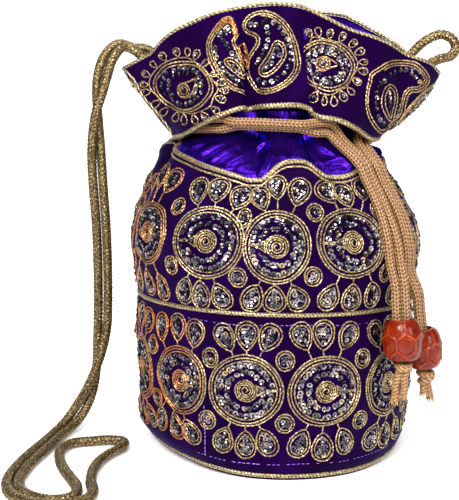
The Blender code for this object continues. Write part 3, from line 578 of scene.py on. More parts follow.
def floor_finish():
    f = Finish("pale_floor", Roughness=0.85, Specular_IOR_Level=0.2)
    f.set("Base Color", f.ramp(f.noise(120.0, 2.0), [(0.3, srgb(244, 243, 244)), (0.7, srgb(250, 250, 250))]))
    f.shader.inputs["Emission Color"].default_value = (1.0, 1.0, 1.0, 1.0)
    f.shader.inputs["Emission Strength"].default_value = 0.28
    return f.mat


M_VELVET, M_SATIN, M_ZARI, M_SEQUIN = velvet_finish(), satin_finish(), zari_finish(), sequin_finish()
M_PIPING, M_BRAID, M_KNIT, M_BEAD, M_BOARD = piping_finish(), braid_finish(), knit_finish(), bead_finish(), board_finish()

# ================================================================ meshes


def make(name, points, quads, tris, mat, body="bag", smooth=True, attributes=None):
    """A mesh piece from points in millimetres and arrays of faces, riding on a body."""
    points = np.asarray(points, np.float64).reshape(-1, 3) * MM
    quads = np.asarray(quads, np.int64).reshape(-1, 4) if len(quads) else np.zeros((0, 4), np.int64)
    tris = np.asarray(tris, np.int64).reshape(-1, 3) if len(tris) else np.zeros((0, 3), np.int64)
    mesh = bpy.data.meshes.new(name)
    mesh.vertices.add(len(points))
    mesh.vertices.foreach_set("co", points.astype(np.float32).ravel())
    loops = np.concatenate([quads.ravel(), tris.ravel()]).astype(np.int32)
    mesh.loops.add(len(loops))
    mesh.loops.foreach_set("vertex_index", loops)
    starts = np.concatenate([np.arange(len(quads)) * 4, len(quads) * 4 + np.arange(len(tris)) * 3]).astype(np.int32)
    mesh.polygons.add(len(starts))
    mesh.polygons.foreach_set("loop_start", starts)
    mesh.update(calc_edges=True)
    mesh.validate()
    for key, values in (attributes or {}).items():
        made = mesh.attributes.new(key, "FLOAT", "POINT")
        made.data.foreach_set("value", np.asarray(values, np.float32))
    mesh.materials.append(mat)
    if smooth:
        mesh.shade_smooth()
    else:
        mesh.shade_flat()
    obj = bpy.data.objects.new(name, mesh)
    bpy.context.scene.collection.objects.link(obj)
    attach(obj, body)
    return obj


def shell_mesh(name, outer, inner, mat, closed_floor=False, sharp=None):
    """A closed shell between two stacks of loops (rows, columns, 3), both from the lowest up and closed round the bag."""
    m, n = outer.shape[:2]
    k = inner.shape[0]
    points = np.concatenate([outer.reshape(-1, 3), inner.reshape(-1, 3)])
    i = np.arange(n)
    j = (i + 1) % n
    quads = []
    for r in range(m - 1):
        quads.append(np.stack([r * n + i, r * n + j, (r + 1) * n + j, (r + 1) * n + i], 1))
    base = m * n
    for r in range(k - 1):
        quads.append(np.stack([base + r * n + j, base + r * n + i, base + (r + 1) * n + i, base + (r + 1) * n + j], 1))
    quads.append(np.stack([(m - 1) * n + i, (m - 1) * n + j, base + (k - 1) * n + j, base + (k - 1) * n + i], 1))
    tris = []
    if closed_floor:
        points = np.concatenate([points, outer[0].mean(0)[None], inner[0].mean(0)[None]])
        tris.append(np.stack([j, i, np.full(n, len(points) - 2)], 1))
        tris.append(np.stack([base + i, base + j, np.full(n, len(points) - 1)], 1))
    else:
        quads.append(np.stack([j, i, base + i, base + j], 1))
    obj = make(name, points, np.concatenate(quads), np.concatenate(tris) if tris else [], mat)
    obj.data.set_sharp_from_angle(angle=math.radians(60))
    return obj


AROUND = 400
A = np.linspace(-180.0, 180.0, AROUND, endpoint=False)


def rows_of(patch, heights, depth):
    """Loops of a patch at heights (numbers or arrays over A), depth inside its face."""
    made = []
    for h in heights:
        p, n = patch.at(A, h)
        made.append(p - n * (depth(h) if callable(depth) else depth))
    return np.stack(made)


def ease(count):
    """Shares from 0 to 1, closer together at both ends."""
    t = np.linspace(0, 1, count)
    return 0.5 * t + 0.5 * (0.5 - 0.5 * np.cos(math.pi * t))


low_edge, high_edge = 3.6, MID_SEAM_Z - 1.0
lower_rows = [low_edge + (high_edge - low_edge) * t for t in ease(46)]
shell_mesh("velvet_lower_band", rows_of(velvet, lower_rows, 0.0), rows_of(velvet, lower_rows[::5], VELVET), M_VELVET)
top = seam_z(A) - 1.1
upper_rows = [(MID_SEAM_Z + 1.0) + (top - (MID_SEAM_Z + 1.0)) * t for t in ease(52)]
shell_mesh("velvet_upper_band", rows_of(velvet, upper_rows, 0.0), rows_of(velvet, upper_rows[::3], VELVET), M_VELVET)
low = seam_z(A) + 0.9
neck_top = satin_top_z(A)
satin_rows = [low + (neck_top - low) * t for t in np.linspace(0, 1, 46)]
satin_piece = shell_mesh("satin_gathers", rows_of(satin, satin_rows, 0.0), rows_of(satin, satin_rows[::3], 0.35), M_SATIN)
collar_rows = [0.03 + 0.945 * t for t in ease(44)]
collar_piece = shell_mesh("velvet_collar", rows_of(collar, collar_rows, 0.0), rows_of(collar, collar_rows[::3] + [collar_rows[-1]], VELVET), M_VELVET)
facing = Patch(facing_outer, 0.0, 1.0, 61)
facing_rows = list(np.linspace(0.0, 0.985, 22))
facing_piece = shell_mesh("satin_facing", rows_of(facing, facing_rows, 0.0), rows_of(facing, facing_rows, 0.35), M_SATIN)


def disc(name, edge_z, inside, depth, mat, edge_lift):
    """A round panel under the bag with its rim on the wall's own line, domed up to the rim's height."""
    p, n = velvet.at(A, edge_z)
    rim = p - n * inside
    rim[:, 2] = edge_lift + table(FOOT, A, 2, 360.0)
    shares = np.array([0.3, 0.6, 0.84, 1.0])
    rows = np.stack([np.concatenate([rim[:, :2] * k, (edge_lift + (rim[:, 2:] - edge_lift) * max(0.0, (k - 0.6) / 0.4) ** 2)], 1) for k in shares])
    count = len(A)
    upper_rows = rows + np.array([0.0, 0.0, depth])
    points = np.concatenate([rows.reshape(-1, 3), upper_rows.reshape(-1, 3), [[0, 0, edge_lift]], [[0, 0, edge_lift + depth]]])
    m = len(shares)
    i = np.arange(count)
    j = (i + 1) % count
    base = m * count
    quads = []
    for r in range(m - 1):
        quads.append(np.stack([r * count + j, r * count + i, (r + 1) * count + i, (r + 1) * count + j], 1))
        quads.append(np.stack([base + r * count + i, base + r * count + j, base + (r + 1) * count + j, base + (r + 1) * count + i], 1))
    quads.append(np.stack([(m - 1) * count + j, (m - 1) * count + i, base + (m - 1) * count + i, base + (m - 1) * count + j], 1))
    tris = [np.stack([i, j, np.full(count, 2 * base)], 1), np.stack([base + j, base + i, np.full(count, 2 * base + 1)], 1)]
    return make(name, points, np.concatenate(quads), np.concatenate(tris), mat)


panel_piece = disc("velvet_base_panel", 3.0, 1.6, BASE_T, M_VELVET, 0.0)
board_piece = disc("stiff_base_board", 3.0, 3.6, BOARD_T, M_BOARD, BASE_T + GAP)
lining_patch = Patch(lambda a, z: round_point(a, wall_r(a, z), z), 0.0, 178.0, 179)
floor_z = BASE_T + BOARD_T + 2 * GAP + 0.15
lining_heights = [floor_z, *np.linspace(8.0, 174.0, 30)]
lining_heights = [h if not isinstance(h, float) or h < 120 else h + (satin_top_z(A) - 174.0) * (h - 120) / 54.0 for h in lining_heights]


def lining_loops(extra):
    made = []
    for h in lining_heights:
        p, n = lining_patch.at(A, h)
        ruck = 0.35 * soft_short(p) + 0.2 * soft_fine(p)
        made.append(p - n * (VELVET + GAP + extra + np.clip(ruck, 0, 1)[..., None] * 0.8))
    lift = table(FOOT, A, 2, 360.0)
    foot = table(FOOT, A, 1, 360.0)
    for h, row in zip(lining_heights[:3], made[:3]):
        k = 1.0 - foot * (1.0 - math.sqrt(max(0.0, 1.0 - (max(15.0 - h, 0.0) / 15.6) ** 2))) / np.hypot(row[:, 0], row[:, 1])
        row[:, 0] *= k
        row[:, 1] *= k
    made[0][:, 2] = floor_z + (0.3 if extra > 0 else 0.0) + lift
    return np.stack(made)


shell_mesh("satin_lining", lining_loops(0.0), lining_loops(0.35), M_SATIN, closed_floor=True)

# ---------------------------------------------------------------- round cords


def smooth_line(points, spacing, closed=False):
    """Points about spacing apart on a smooth curve through the given ones (centripetal Catmull-Rom)."""
    pts = [np.array(p, float) for p in points]
    n = len(pts)
    fine = []
    for i in range(n if closed else n - 1):
        if closed:
            p0, p1, p2, p3 = pts[(i - 1) % n], pts[i], pts[(i + 1) % n], pts[(i + 2) % n]
        else:
            p1, p2 = pts[i], pts[i + 1]
            p0 = pts[i - 1] if i > 0 else p1 * 2 - p2
            p3 = pts[i + 2] if i + 2 < n else p2 * 2 - p1
        t1 = max(1e-6, np.linalg.norm(p1 - p0)) ** 0.5
        t2 = t1 + max(1e-6, np.linalg.norm(p2 - p1)) ** 0.5
        t3 = t2 + max(1e-6, np.linalg.norm(p3 - p2)) ** 0.5
        t = (t1 + (t2 - t1) * np.arange(16) / 16)[:, None]
        a1 = p0 * ((t1 - t) / t1) + p1 * (t / t1)
        a2 = p1 * ((t2 - t) / (t2 - t1)) + p2 * ((t - t1) / (t2 - t1))
        a3 = p2 * ((t3 - t) / (t3 - t2)) + p3 * ((t - t2) / (t3 - t2))
        b1 = a1 * ((t2 - t) / t2) + a2 * (t / t2)
        b2 = a2 * ((t3 - t) / (t3 - t1)) + a3 * ((t - t1) / (t3 - t1))
        fine.append(b1 * ((t2 - t) / (t2 - t1)) + b2 * ((t - t1) / (t2 - t1)))
    fine = np.concatenate([*fine, (pts[0] if closed else pts[-1])[None]])
    return spaced(fine, spacing, closed)


def spaced(line, spacing, closed=False, even=False):
    """A polyline's points brought to an even spacing."""
    line = np.asarray(line, float)
    along = np.concatenate([[0.0], np.cumsum(np.linalg.norm(np.diff(line, axis=0), axis=1))])
    count = max(4, round(along[-1] / spacing))
    if even:
        count += count % 2
    want = along[-1] * np.arange(count if closed else count + 1) / count
    return np.stack([np.interp(want, along, line[:, k]) for k in range(line.shape[1])], 1)


def frames(line, closed=False, out=None):
    """Unit tangents and a steady pair of normals along a line. out, if given, is the direction that the first normal keeps near."""
    line = np.asarray(line, float)
    if closed:
        t = unit(np.roll(line, -1, 0) - np.roll(line, 1, 0))
    else:
        t = unit(np.gradient(line, axis=0))
    if out is not None:
        n = unit(out - t * (out * t).sum(1, keepdims=True))
        return t, n, np.cross(t, n)
    n = np.zeros_like(t)
    start = np.array([0.0, 0.0, 1.0]) if abs(t[0][2]) < 0.9 else np.array([1.0, 0.0, 0.0])
    n[0] = unit(start - t[0] * (start @ t[0]))
    for i in range(1, len(t)):
        v = n[i - 1] - t[i] * (n[i - 1] @ t[i])
        n[i] = v / max(1e-9, np.linalg.norm(v))
    return t, n, np.cross(t, n)


def textured_tube(name, line, radius, relief, mat, sides=20, closed=False, out=None, body="bag", squash=1.0, taper=None):
    """A closed tube round a line. relief(angle, distance) gives the surface's height in mm and a value from 0 to 1 for
    painted shade: near 0 in the grooves, where the colour is darkened to stand for their shade, and 1 on the crests.
    """
    line = np.asarray(line, float)
    t, n, b = frames(line, closed, out)
    m = len(line)
    along = np.concatenate([[0.0], np.cumsum(np.linalg.norm(np.diff(line, axis=0), axis=1))])
    ang = np.linspace(0, 2 * math.pi, sides, endpoint=False)
    aa, ss = np.meshgrid(ang, along)
    h, groove_shade = relief(aa, ss)
    r = radius + h
    if taper is not None:
        r = r * taper(along / along[-1])[:, None]
    p = line[:, None, :] + n[:, None, :] * (np.cos(aa) * r * squash)[..., None] + b[:, None, :] * (np.sin(aa) * r)[..., None]
    i = np.arange(sides)
    j = (i + 1) % sides
    quads = []
    rows = m if closed else m - 1
    for k in range(rows):
        k2 = (k + 1) % m
        quads.append(np.stack([k * sides + i, k * sides + j, k2 * sides + j, k2 * sides + i], 1))
    points = p.reshape(-1, 3)
    groove_shade = np.broadcast_to(groove_shade, aa.shape).reshape(-1)
    tris = []
    if not closed:
        points = np.concatenate([points, line[:1], line[-1:]])
        # the middle of each end cap takes 0.4, a fairly dark painted shade
        groove_shade = np.concatenate([groove_shade, [0.4, 0.4]])
        c0, c1 = m * sides, m * sides + 1
        tris.append(np.stack([j, i, np.full(sides, c0)], 1))
        tris.append(np.stack([(m - 1) * sides + i, (m - 1) * sides + j, np.full(sides, c1)], 1))
    return make(name, points, np.concatenate(quads), np.concatenate(tris) if tris else [], mat, body, attributes={"groove_shade": groove_shade})


def rope_relief(plies, pitch, height):
    """Plies twisted round each other: rounded ridges along a helix."""
    def at(ang, s):
        w = np.abs(np.cos(0.5 * plies * (ang + 2 * math.pi * s / pitch)))
        # the second value is painted shade: the colour is darkened between the plies
        return height * (w - 0.7), np.clip(w * 1.5 - 0.35, 0, 1)
    return at


def braid_relief(columns, pitch, height, seed=0):
    """Columns of stitches that lean alternately, which makes rows of chevrons along the cord."""
    g = np.random.default_rng(seed)
    phase = g.uniform(0, 0.15, columns * 2)

    def at(ang, s):
        c = ang / (2 * math.pi) * columns
        k = np.floor(c).astype(int) % columns
        f = c - np.floor(c)
        lean = np.where(k % 2 == 0, f, 1.0 - f)
        w = 0.5 + 0.5 * np.sin(2 * math.pi * (s / pitch + lean * 0.85 + phase[k]))
        edge = np.sin(math.pi * f) ** 0.45
        v = w ** 0.7 * edge
        # the second value is painted shade: the colour is darkened between the stitches
        return height * (v - 0.55), np.clip(v * 1.35 - 0.12, 0, 1)
    return at


# ---------------------------------------------------------------- piping
def velvet_line(height, depth, spacing=0.8, patch=velvet, angles=None):
    a = np.linspace(-180, 180, 720, endpoint=False) if angles is None else angles
    h = height(a) if callable(height) else height
    p, n = patch.at(a, h)
    line = p - n * depth
    return spaced(np.concatenate([line, line[:1]]), spacing, True, True), n


pipe = rope_relief(2, 3.0, 0.42)
thin = rope_relief(2, 2.2, 0.26)
base_line, _ = velvet_line(2.3, 0.1)
textured_tube("base_piping_cord", base_line, 1.10, pipe, M_PIPING, 10, True)
mid_line, _ = velvet_line(MID_SEAM_Z, -0.15)
textured_tube("middle_piping_cord", mid_line, 1.05, pipe, M_PIPING, 10, True)
neck_line, _ = velvet_line(seam_z, -0.25)
textured_tube("neck_piping_cord", neck_line, 1.28, pipe, M_PIPING, 10, True)
neck_thin, _ = velvet_line(lambda a: seam_z(a) - 2.35, -0.30)
neck_thin_piece = textured_tube("neck_gold_line", neck_thin, 0.55, rope_relief(2, 1.6, 0.16), M_ZARI, 6, True)
neck_thin_piece.data.attributes.new("tone", "FLOAT", "POINT")


def collar_edge(v, inside, beyond):
    a = np.linspace(-180, 180, 720, endpoint=False)
    p, n = collar.at(a, v)
    q, _ = collar.at(a, 0.5)
    line = p - n * inside + unit(p - q) * beyond
    return spaced(np.concatenate([line, line[:1]]), 0.8, True, True)


textured_tube("collar_lower_piping_cord", collar_edge(0.03, 0.45, 1.1), 1.30, pipe, M_PIPING, 10, True)
textured_tube("collar_rim_piping_cord", collar_edge(0.975, 0.65, 1.1), 0.92, rope_relief(2, 2.4, 0.36), M_PIPING, 10, True)
side_v = np.linspace(0.04, 0.97, 90)
side_p, side_n = collar.at(-79.0 + 3.0 * np.sin(side_v * 3.0), side_v)
side_piece = textured_tube("collar_side_cord", spaced(side_p + side_n * 0.35, 0.8), 0.62, rope_relief(2, 2.0, 0.2), M_PIPING, 8)
# ================================================================ embroidery
GOLD, COPPER = 0.0, 1.0


class Work:
    """Couched thread and sequins on one surface: collected in surface coordinates, then made in one go."""

    def __init__(self, patch):
        self.patch = patch
        self.threads = []      # (line of surface coordinates, closed, radius, tone)
        self.sequins = []      # (a, b, radius, tone)
        self.fade = None

    def thread(self, line, closed=False, radius=0.38, tone=GOLD):
        self.threads.append((np.asarray(line, float), closed, radius, tone))

    def sequin(self, a, b, radius=1.45, tone=None):
        self.sequins.append((a, b, radius, rng.uniform(0, 1) if tone is None else tone))

    def build_threads(self, name):
        points, quads, tones, count = [], [], [], 0
        g = np.random.default_rng(11)
        for line, closed, radius, tone in self.threads:
            p, n = self.patch.at(line[:, 0], line[:, 1])
            both = np.concatenate([p, n], 1)
            if closed:
                both = np.concatenate([both, both[:1]])
            seg = np.linalg.norm(np.diff(both[:, :3], axis=0), axis=1)
            along = np.concatenate([[0.0], np.cumsum(seg)])
            if along[-1] < 0.7:
                continue
            m = max(2, round(along[-1] / 1.08))
            if closed:
                m += m % 2
                m = max(m, 6)
            want = along[-1] * np.arange(m if closed else m + 1) / m
            both = np.stack([np.interp(want, along, both[:, k]) for k in range(6)], 1)
            p, n = both[:, :3], unit(both[:, 3:])
            p = p + n * (radius * 0.55) + n * g.uniform(-0.05, 0.05, (len(p), 1))
            t, up, side = frames(p, closed, n)
            k = len(p)
            ang = np.arange(4) * (math.pi / 2)
            phase = (np.arange(k) % 2)[:, None] * (math.pi / 4) + ang[None, :]
            r = radius * (1.0 + g.uniform(-0.07, 0.07, (k, 1)))
            ring = p[:, None] + up[:, None] * (np.cos(phase) * r)[..., None] + side[:, None] * (np.sin(phase) * r * 1.08)[..., None]
            idx = count + np.arange(k * 4).reshape(k, 4)
            nxt = np.roll(idx, -1, 0) if closed else idx[1:]
            cur = idx if closed else idx[:-1]
            for c in range(4):
                d = (c + 1) % 4
                quads.append(np.stack([cur[:, c], cur[:, d], nxt[:, d], nxt[:, c]], 1))
            if not closed:
                quads.append(np.array([[idx[0, 3], idx[0, 2], idx[0, 1], idx[0, 0]], [idx[-1, 0], idx[-1, 1], idx[-1, 2], idx[-1, 3]]]))
            points.append(ring.reshape(-1, 3))
            if tone > 0 and self.fade is not None:
                a = np.degrees(np.arctan2(p[:, 0], -p[:, 1]))
                tones.append(np.repeat(tone * self.fade(a, p[:, 2]), 4))
            else:
                tones.append(np.full(k * 4, tone))
            count += k * 4
        return make(name, np.concatenate(points), np.concatenate(quads), [], M_ZARI, smooth=False, attributes={"tone": np.concatenate(tones)})

    def build_sequins(self, name, tilt=17.0):
        data = np.array(self.sequins, float)
        if not len(data):
            return None
        g = np.random.default_rng(23)
        p, n = self.patch.at(data[:, 0], data[:, 1])
        m = len(data)
        axis = unit(n + g.normal(size=(m, 3)) * math.tan(math.radians(tilt)) * 0.62)
        u = unit(np.cross(axis, g.normal(size=(m, 3))))
        w = np.cross(axis, u)
        r = data[:, 2] * g.uniform(0.93, 1.06, m)
        sides = 8
        ang = np.linspace(0, 2 * math.pi, sides, endpoint=False)
        centre = p + n * (0.42 + g.uniform(0, 0.16, m))[:, None]
        section = [(0.36, 0.02), (1.0, 0.30), (0.62, -0.16)]     # hole's edge, rim, underside
        rings = []
        for share, lift in section:
            rings.append(centre[:, None] + (u[:, None] * np.cos(ang)[None, :, None] + w[:, None] * np.sin(ang)[None, :, None]) * (r * share)[:, None, None] + axis[:, None] * lift)
        points = np.stack(rings, 1).reshape(-1, 3)
        base = (np.arange(m) * 3 * sides)[:, None]
        i = np.arange(sides)
        j = (i + 1) % sides
        quads = []
        for s0, s1 in ((1, 0), (2, 1), (0, 2)):
            quads.append(np.stack([base + s0 * sides + i, base + s0 * sides + j, base + s1 * sides + j, base + s1 * sides + i], -1).reshape(-1, 4))
        obj = make(name, points, np.concatenate(quads), [], M_SEQUIN, smooth=False, attributes={"tone": np.repeat(data[:, 3], 3 * sides)})
        return obj


# distance up the wall against height, at the front, to lay flat drawings on it
_z = np.linspace(0.0, 170.0, 681)
_r = (crest_r(0.0, _z) + crest_r(90.0, _z)) / 2
_up = np.concatenate([[0.0], np.cumsum(np.hypot(np.diff(_z), np.diff(_r)))])


def on_wall(a0, z0, lean=0.0):
    """A mapping of flat millimetres round a point of the wall to (angle, height). lean turns the drawing clockwise."""
    c, s = math.cos(math.radians(lean)), math.sin(math.radians(lean))
    h0 = float(np.interp(z0, _z, _up))

    def at(line):
        line = np.asarray(line, float)
        x, y = line[:, 0] * c + line[:, 1] * s, -line[:, 0] * s + line[:, 1] * c
        z = np.interp(h0 + y, _up, _z)
        a = a0 + x / (crest_r(a0, z) * math.pi / 180)
        return np.stack([a, z], 1)
    return at


def unevenly(line, amount=0.25, closed=True):
    """A hand-laid line: wandering a little off its drawing."""
    line = np.asarray(line, float)
    n = len(line)
    t = np.linspace(0, 2 * math.pi, n, endpoint=not closed)
    d = np.zeros_like(line)
    for k in (2, 3, 5, 8):
        d += rng.normal(size=2)[None, :] * np.sin(k * t + rng.uniform(0, 6.28))[:, None] * amount / (k ** 0.5 * 1.6)
    return line + d


def oval(rx, ry, n=72, x=0.0, y=0.0, start=0.0):
    t = start + np.linspace(0, 2 * math.pi, n, endpoint=False)
    return np.stack([x + rx * np.cos(t), y + ry * np.sin(t)], 1)


def drop(width, long, n=48, point=0.5):
    """A leaf with its point at -Y."""
    t = np.linspace(0, 2 * math.pi, n, endpoint=False)
    return np.stack([width / 2 * np.sin(t) * (0.5 - 0.5 * np.cos(t)) ** point * 1.12, -long / 2 * np.cos(t)], 1)


def closed_curve(points, spacing=1.0):
    return smooth_line(points, spacing, True)


def shrink(line, by):
    """A closed line moved inwards by a distance."""
    line = np.asarray(line, float)
    t = np.roll(line, -1, 0) - np.roll(line, 1, 0)
    t = unit(t)
    area = 0.5 * np.sum(line[:, 0] * np.roll(line[:, 1], -1) - np.roll(line[:, 0], -1) * line[:, 1])
    n = np.stack([-t[:, 1], t[:, 0]], 1) * (1 if area > 0 else -1)
    return line + n * by


def medallion(work, a0, z0, rx, ry, tail, tone):
    to = on_wall(a0, z0, rng.uniform(-4, 4))
    for k, off in enumerate((0.0, 1.3, 2.9)):
        wide = unevenly(oval(rx - 0.5 - off, ry - 0.5 - off, 80, start=rng.uniform(0, 6)), 0.22)
        work.thread(to(wide), True, 0.37, tone)
    # rows of sequins
    for share, jitter in ((0.70, 0.45), (0.49, 0.5)):
        count = int(round(2 * math.pi * (rx + ry) / 2 * share / 2.48))
        for i in range(count):
            t = 2 * math.pi * (i + rng.uniform(-0.18, 0.18)) / count
            if (1 if tail > 0 else -1) * math.cos(t) > 0.2 and abs(math.sin(t)) * ry * share < 1.7:
                continue
            work.sequin(*to([[rx * share * math.cos(t) + rng.normal() * jitter * 0.6, ry * share * math.sin(t) + rng.normal() * jitter * 0.6]])[0], 1.4)
    for i in range(9):
        t, s = rng.uniform(0.6, 5.68) + (0 if tail > 0 else math.pi), rng.uniform(0.42, 0.78)
        work.sequin(*to([[rx * s * math.cos(t), ry * s * math.sin(t)]])[0], 1.35)
    # the coil in the middle, with its tail to the ring
    turns = 4.3
    t = np.linspace(0, 2 * math.pi * turns, 150)
    r = 0.9 + 4.9 * (t / t[-1]) ** 0.92
    side = 1.0 if tail > 0 else -1.0
    spin = t - 2 * math.pi * turns + (0.5 if tail > 0 else math.pi + 0.5)
    coil = np.stack([r * np.cos(spin), r * np.sin(spin)], 1)
    work.thread(to(unevenly(coil, 0.14, False)), False, 0.37, tone)
    reach = rx - 3.6
    for s in (1, -1):
        leg = smooth_line([(side * 5.1, s * 2.7), (side * 7.2, s * 1.5), (side * 9.6, s * 0.55), (side * reach, s * 0.3)], 1.0)
        work.thread(to(leg), False, 0.35, tone)
    for x in (6.6, 8.8, 10.8):
        work.sequin(*to([[side * x, rng.uniform(-0.3, 0.3)]])[0], 1.1)


def petal(work, a0, z0, lean, wide, long, tone, up, ring):
    """A leaf above (up) or below a medallion, its point tied to the medallion's ring (centre, height, half width, half height)."""
    to = on_wall(a0, z0, lean)
    sign = 1.0 if up else -1.0
    tip = to([[0.0, -sign * long / 2]])[0]
    k = float(crest_r(tip[0], tip[1])) * math.pi / 180
    dx, dz = float(turn(tip[0] - ring[0])) * k, float(np.interp(tip[1], _z, _up) - np.interp(ring[1], _z, _up))
    far = math.hypot(dx / ring[2], dz / ring[3])
    if far > 1.02:
        share = np.linspace(1.0, 0.98 / far, 4)
        near = np.stack([ring[0] + dx * share / k, np.interp(float(np.interp(ring[1], _z, _up)) + dz * share, _up, _z)], 1)
        work.thread(near, False, 0.35, tone)
    body = drop(wide, long, point=rng.uniform(0.22, 0.36)) * np.array([1.0, sign])
    work.thread(to(unevenly(body, 0.2)), True, 0.36, tone)
    inner = drop(wide - 2.7, long - 3.4, 36, 0.3) * np.array([1.0, sign]) + np.array([0, sign * 0.15])
    work.thread(to(unevenly(inner, 0.16)), True, 0.34, tone)
    spots = [(0, 3.9), (-1.45, 2.5), (1.45, 2.3), (0, 1.2), (-1.6, -0.1), (1.5, -0.2), (0, -1.9), (0.1, -3.8)]
    scale = wide / 9.6
    for x, y in spots:
        work.sequin(*to([[x * scale + rng.normal() * 0.25, sign * (y * long / 13.6 + rng.normal() * 0.25)]])[0], 1.3)


def roundel(work, a0, z0, wide, high, tone):
    to = on_wall(a0, z0, rng.uniform(-8, 8))
    work.thread(to(unevenly(oval(wide / 2, high / 2, 36), 0.16)), True, 0.36, tone)
    work.thread(to(unevenly(oval(wide / 2 - 1.25, high / 2 - 1.25, 30), 0.12)), True, 0.34, tone)
    for x, y in ((-0.9, -1.0), (1.1, -0.7), (-0.8, 1.1), (0.9, 1.2)):
        work.sequin(*to([[x + rng.normal() * 0.2, y * high / 9.2 + rng.normal() * 0.2]])[0], 1.25)


lower = Work(velvet)
# centre angle, height, half width, half height, tone
LOWER = [
    (-98.5, 44.0, 17.4, 17.2, 0.9), (-68.0, 43.6, 17.2, 17.3, 1.0), (-38.3, 44.4, 16.6, 17.2, 0.95), (-10.1, 44.0, 18.4, 17.4, 0.0),
    (20.2, 44.0, 19.0, 17.5, 0.0), (51.5, 43.6, 18.2, 17.3, 0.0), (81.5, 44.0, 17.9, 17.4, 0.0), (111.5, 44.2, 17.8, 17.3, 0.0),
    (141.5, 43.8, 17.8, 17.4, 0.0), (171.3, 44.1, 17.8, 17.4, 0.1), (201.2, 43.9, 17.8, 17.3, 0.1), (231.4, 44.0, 17.8, 17.4, 0.5),
]
for i, (a0, z0, rx, ry, tone) in enumerate(LOWER):
    medallion(lower, a0, z0, rx, ry, 1.0, tone)
    if i == 3:
        above = [(-17.8, 68.6, -26), (-9.8, 70.0, 0), (-1.7, 69.6, 26)]
        below = [(-18.3, 19.2, 20), (-9.8, 17.7, 0), (-1.9, 19.6, -24)]
    elif i == 4:
        above = [(10.3, 70.5, -24), (18.4, 71.0, 0), (28.0, 70.0, 28)]
        below = [(10.7, 19.2, 22), (19.8, 16.8, -2), (29.0, 18.7, -26)]
    elif i == 2:
        above = [(-48.6, 68.6, -14), (-39.2, 70.2, 4), (-30.8, 68.6, 10)]
        below = [(-50.6, 20.6, 6), (-40.4, 20.2, -20), (-32.8, 19.4, -32)]
    elif i == 5:
        above = [(42.0, 69.0, -24), (50.6, 70.2, 0), (59.4, 69.2, 24)]
        below = [(43.4, 17.4, 20), (51.4, 16.4, 0), (60.4, 17.6, -26)]
    else:
        j = [rng.uniform(-0.8, 0.8) for _ in range(4)]
        above = [(a0 - 8.2 + j[0], 69.0 + j[1], -25), (a0 + j[2] * 0.5, 70.2, 0), (a0 + 8.2 + j[3], 69.2, 25)]
        below = [(a0 - 8.3 + j[1], 19.0 + j[0], 22), (a0 + j[3] * 0.5, 17.4, 0), (a0 + 8.3 + j[2], 19.0, -24)]
    for a, z, lean in above:
        petal(lower, a, z, lean, 10.9 + rng.uniform(-0.5, 0.4), 14.2 + rng.uniform(-0.6, 0.4), tone, True, (a0, z0, rx, ry))
    for a, z, lean in below:
        petal(lower, a, z, lean, 10.9 + rng.uniform(-0.5, 0.4), 14.0 + rng.uniform(-0.5, 0.4), tone, False, (a0, z0, rx, ry))
    nxt = LOWER[(i + 1) % len(LOWER)][0]
    between = a0 + float(turn(nxt - a0)) / 2
    up, down = {2: ((-23.9, 58.2), (-25.0, 27.8)), 3: ((4.3, 59.2), (4.8, 29.0)), 4: ((35.4, 58.2), (36.0, 27.8)), 1: ((-54.8, 58.4), (-53.4, 31.5))}.get(i, ((between, 58.8), (between, 28.6)))
    roundel(lower, up[0], up[1], 8.6, 9.4, tone if i < 2 else GOLD)
    roundel(lower, down[0], down[1], 8.8, 9.2, tone if i < 2 else GOLD)
# the light stitches of the band's upright join
for k in range(14):
    z = 8.5 + k * 1.9 + rng.uniform(-0.2, 0.2)
    lower.thread(np.array([[-26.4, z], [-26.2, z + 1.25]]), False, 0.30, -1.0)

for z0, z1, start, end in ((8.6, 0.35, -30.0, 62.0), (75.4, 0.3, -34.0, 40.0), (9.4, 0.3, 62.0, 200.0)):
    for k in range(int((end - start) / 1.9)):
        a = start + k * 1.9 + rng.uniform(-0.15, 0.15)
        if rng.uniform() < 0.82:
            z = z0 + z1 * math.sin(a / 7.0)
            lower.thread(np.array([[a, z], [a + 1.1, z + rng.uniform(-0.08, 0.08)]]), False, 0.17, -1.0)

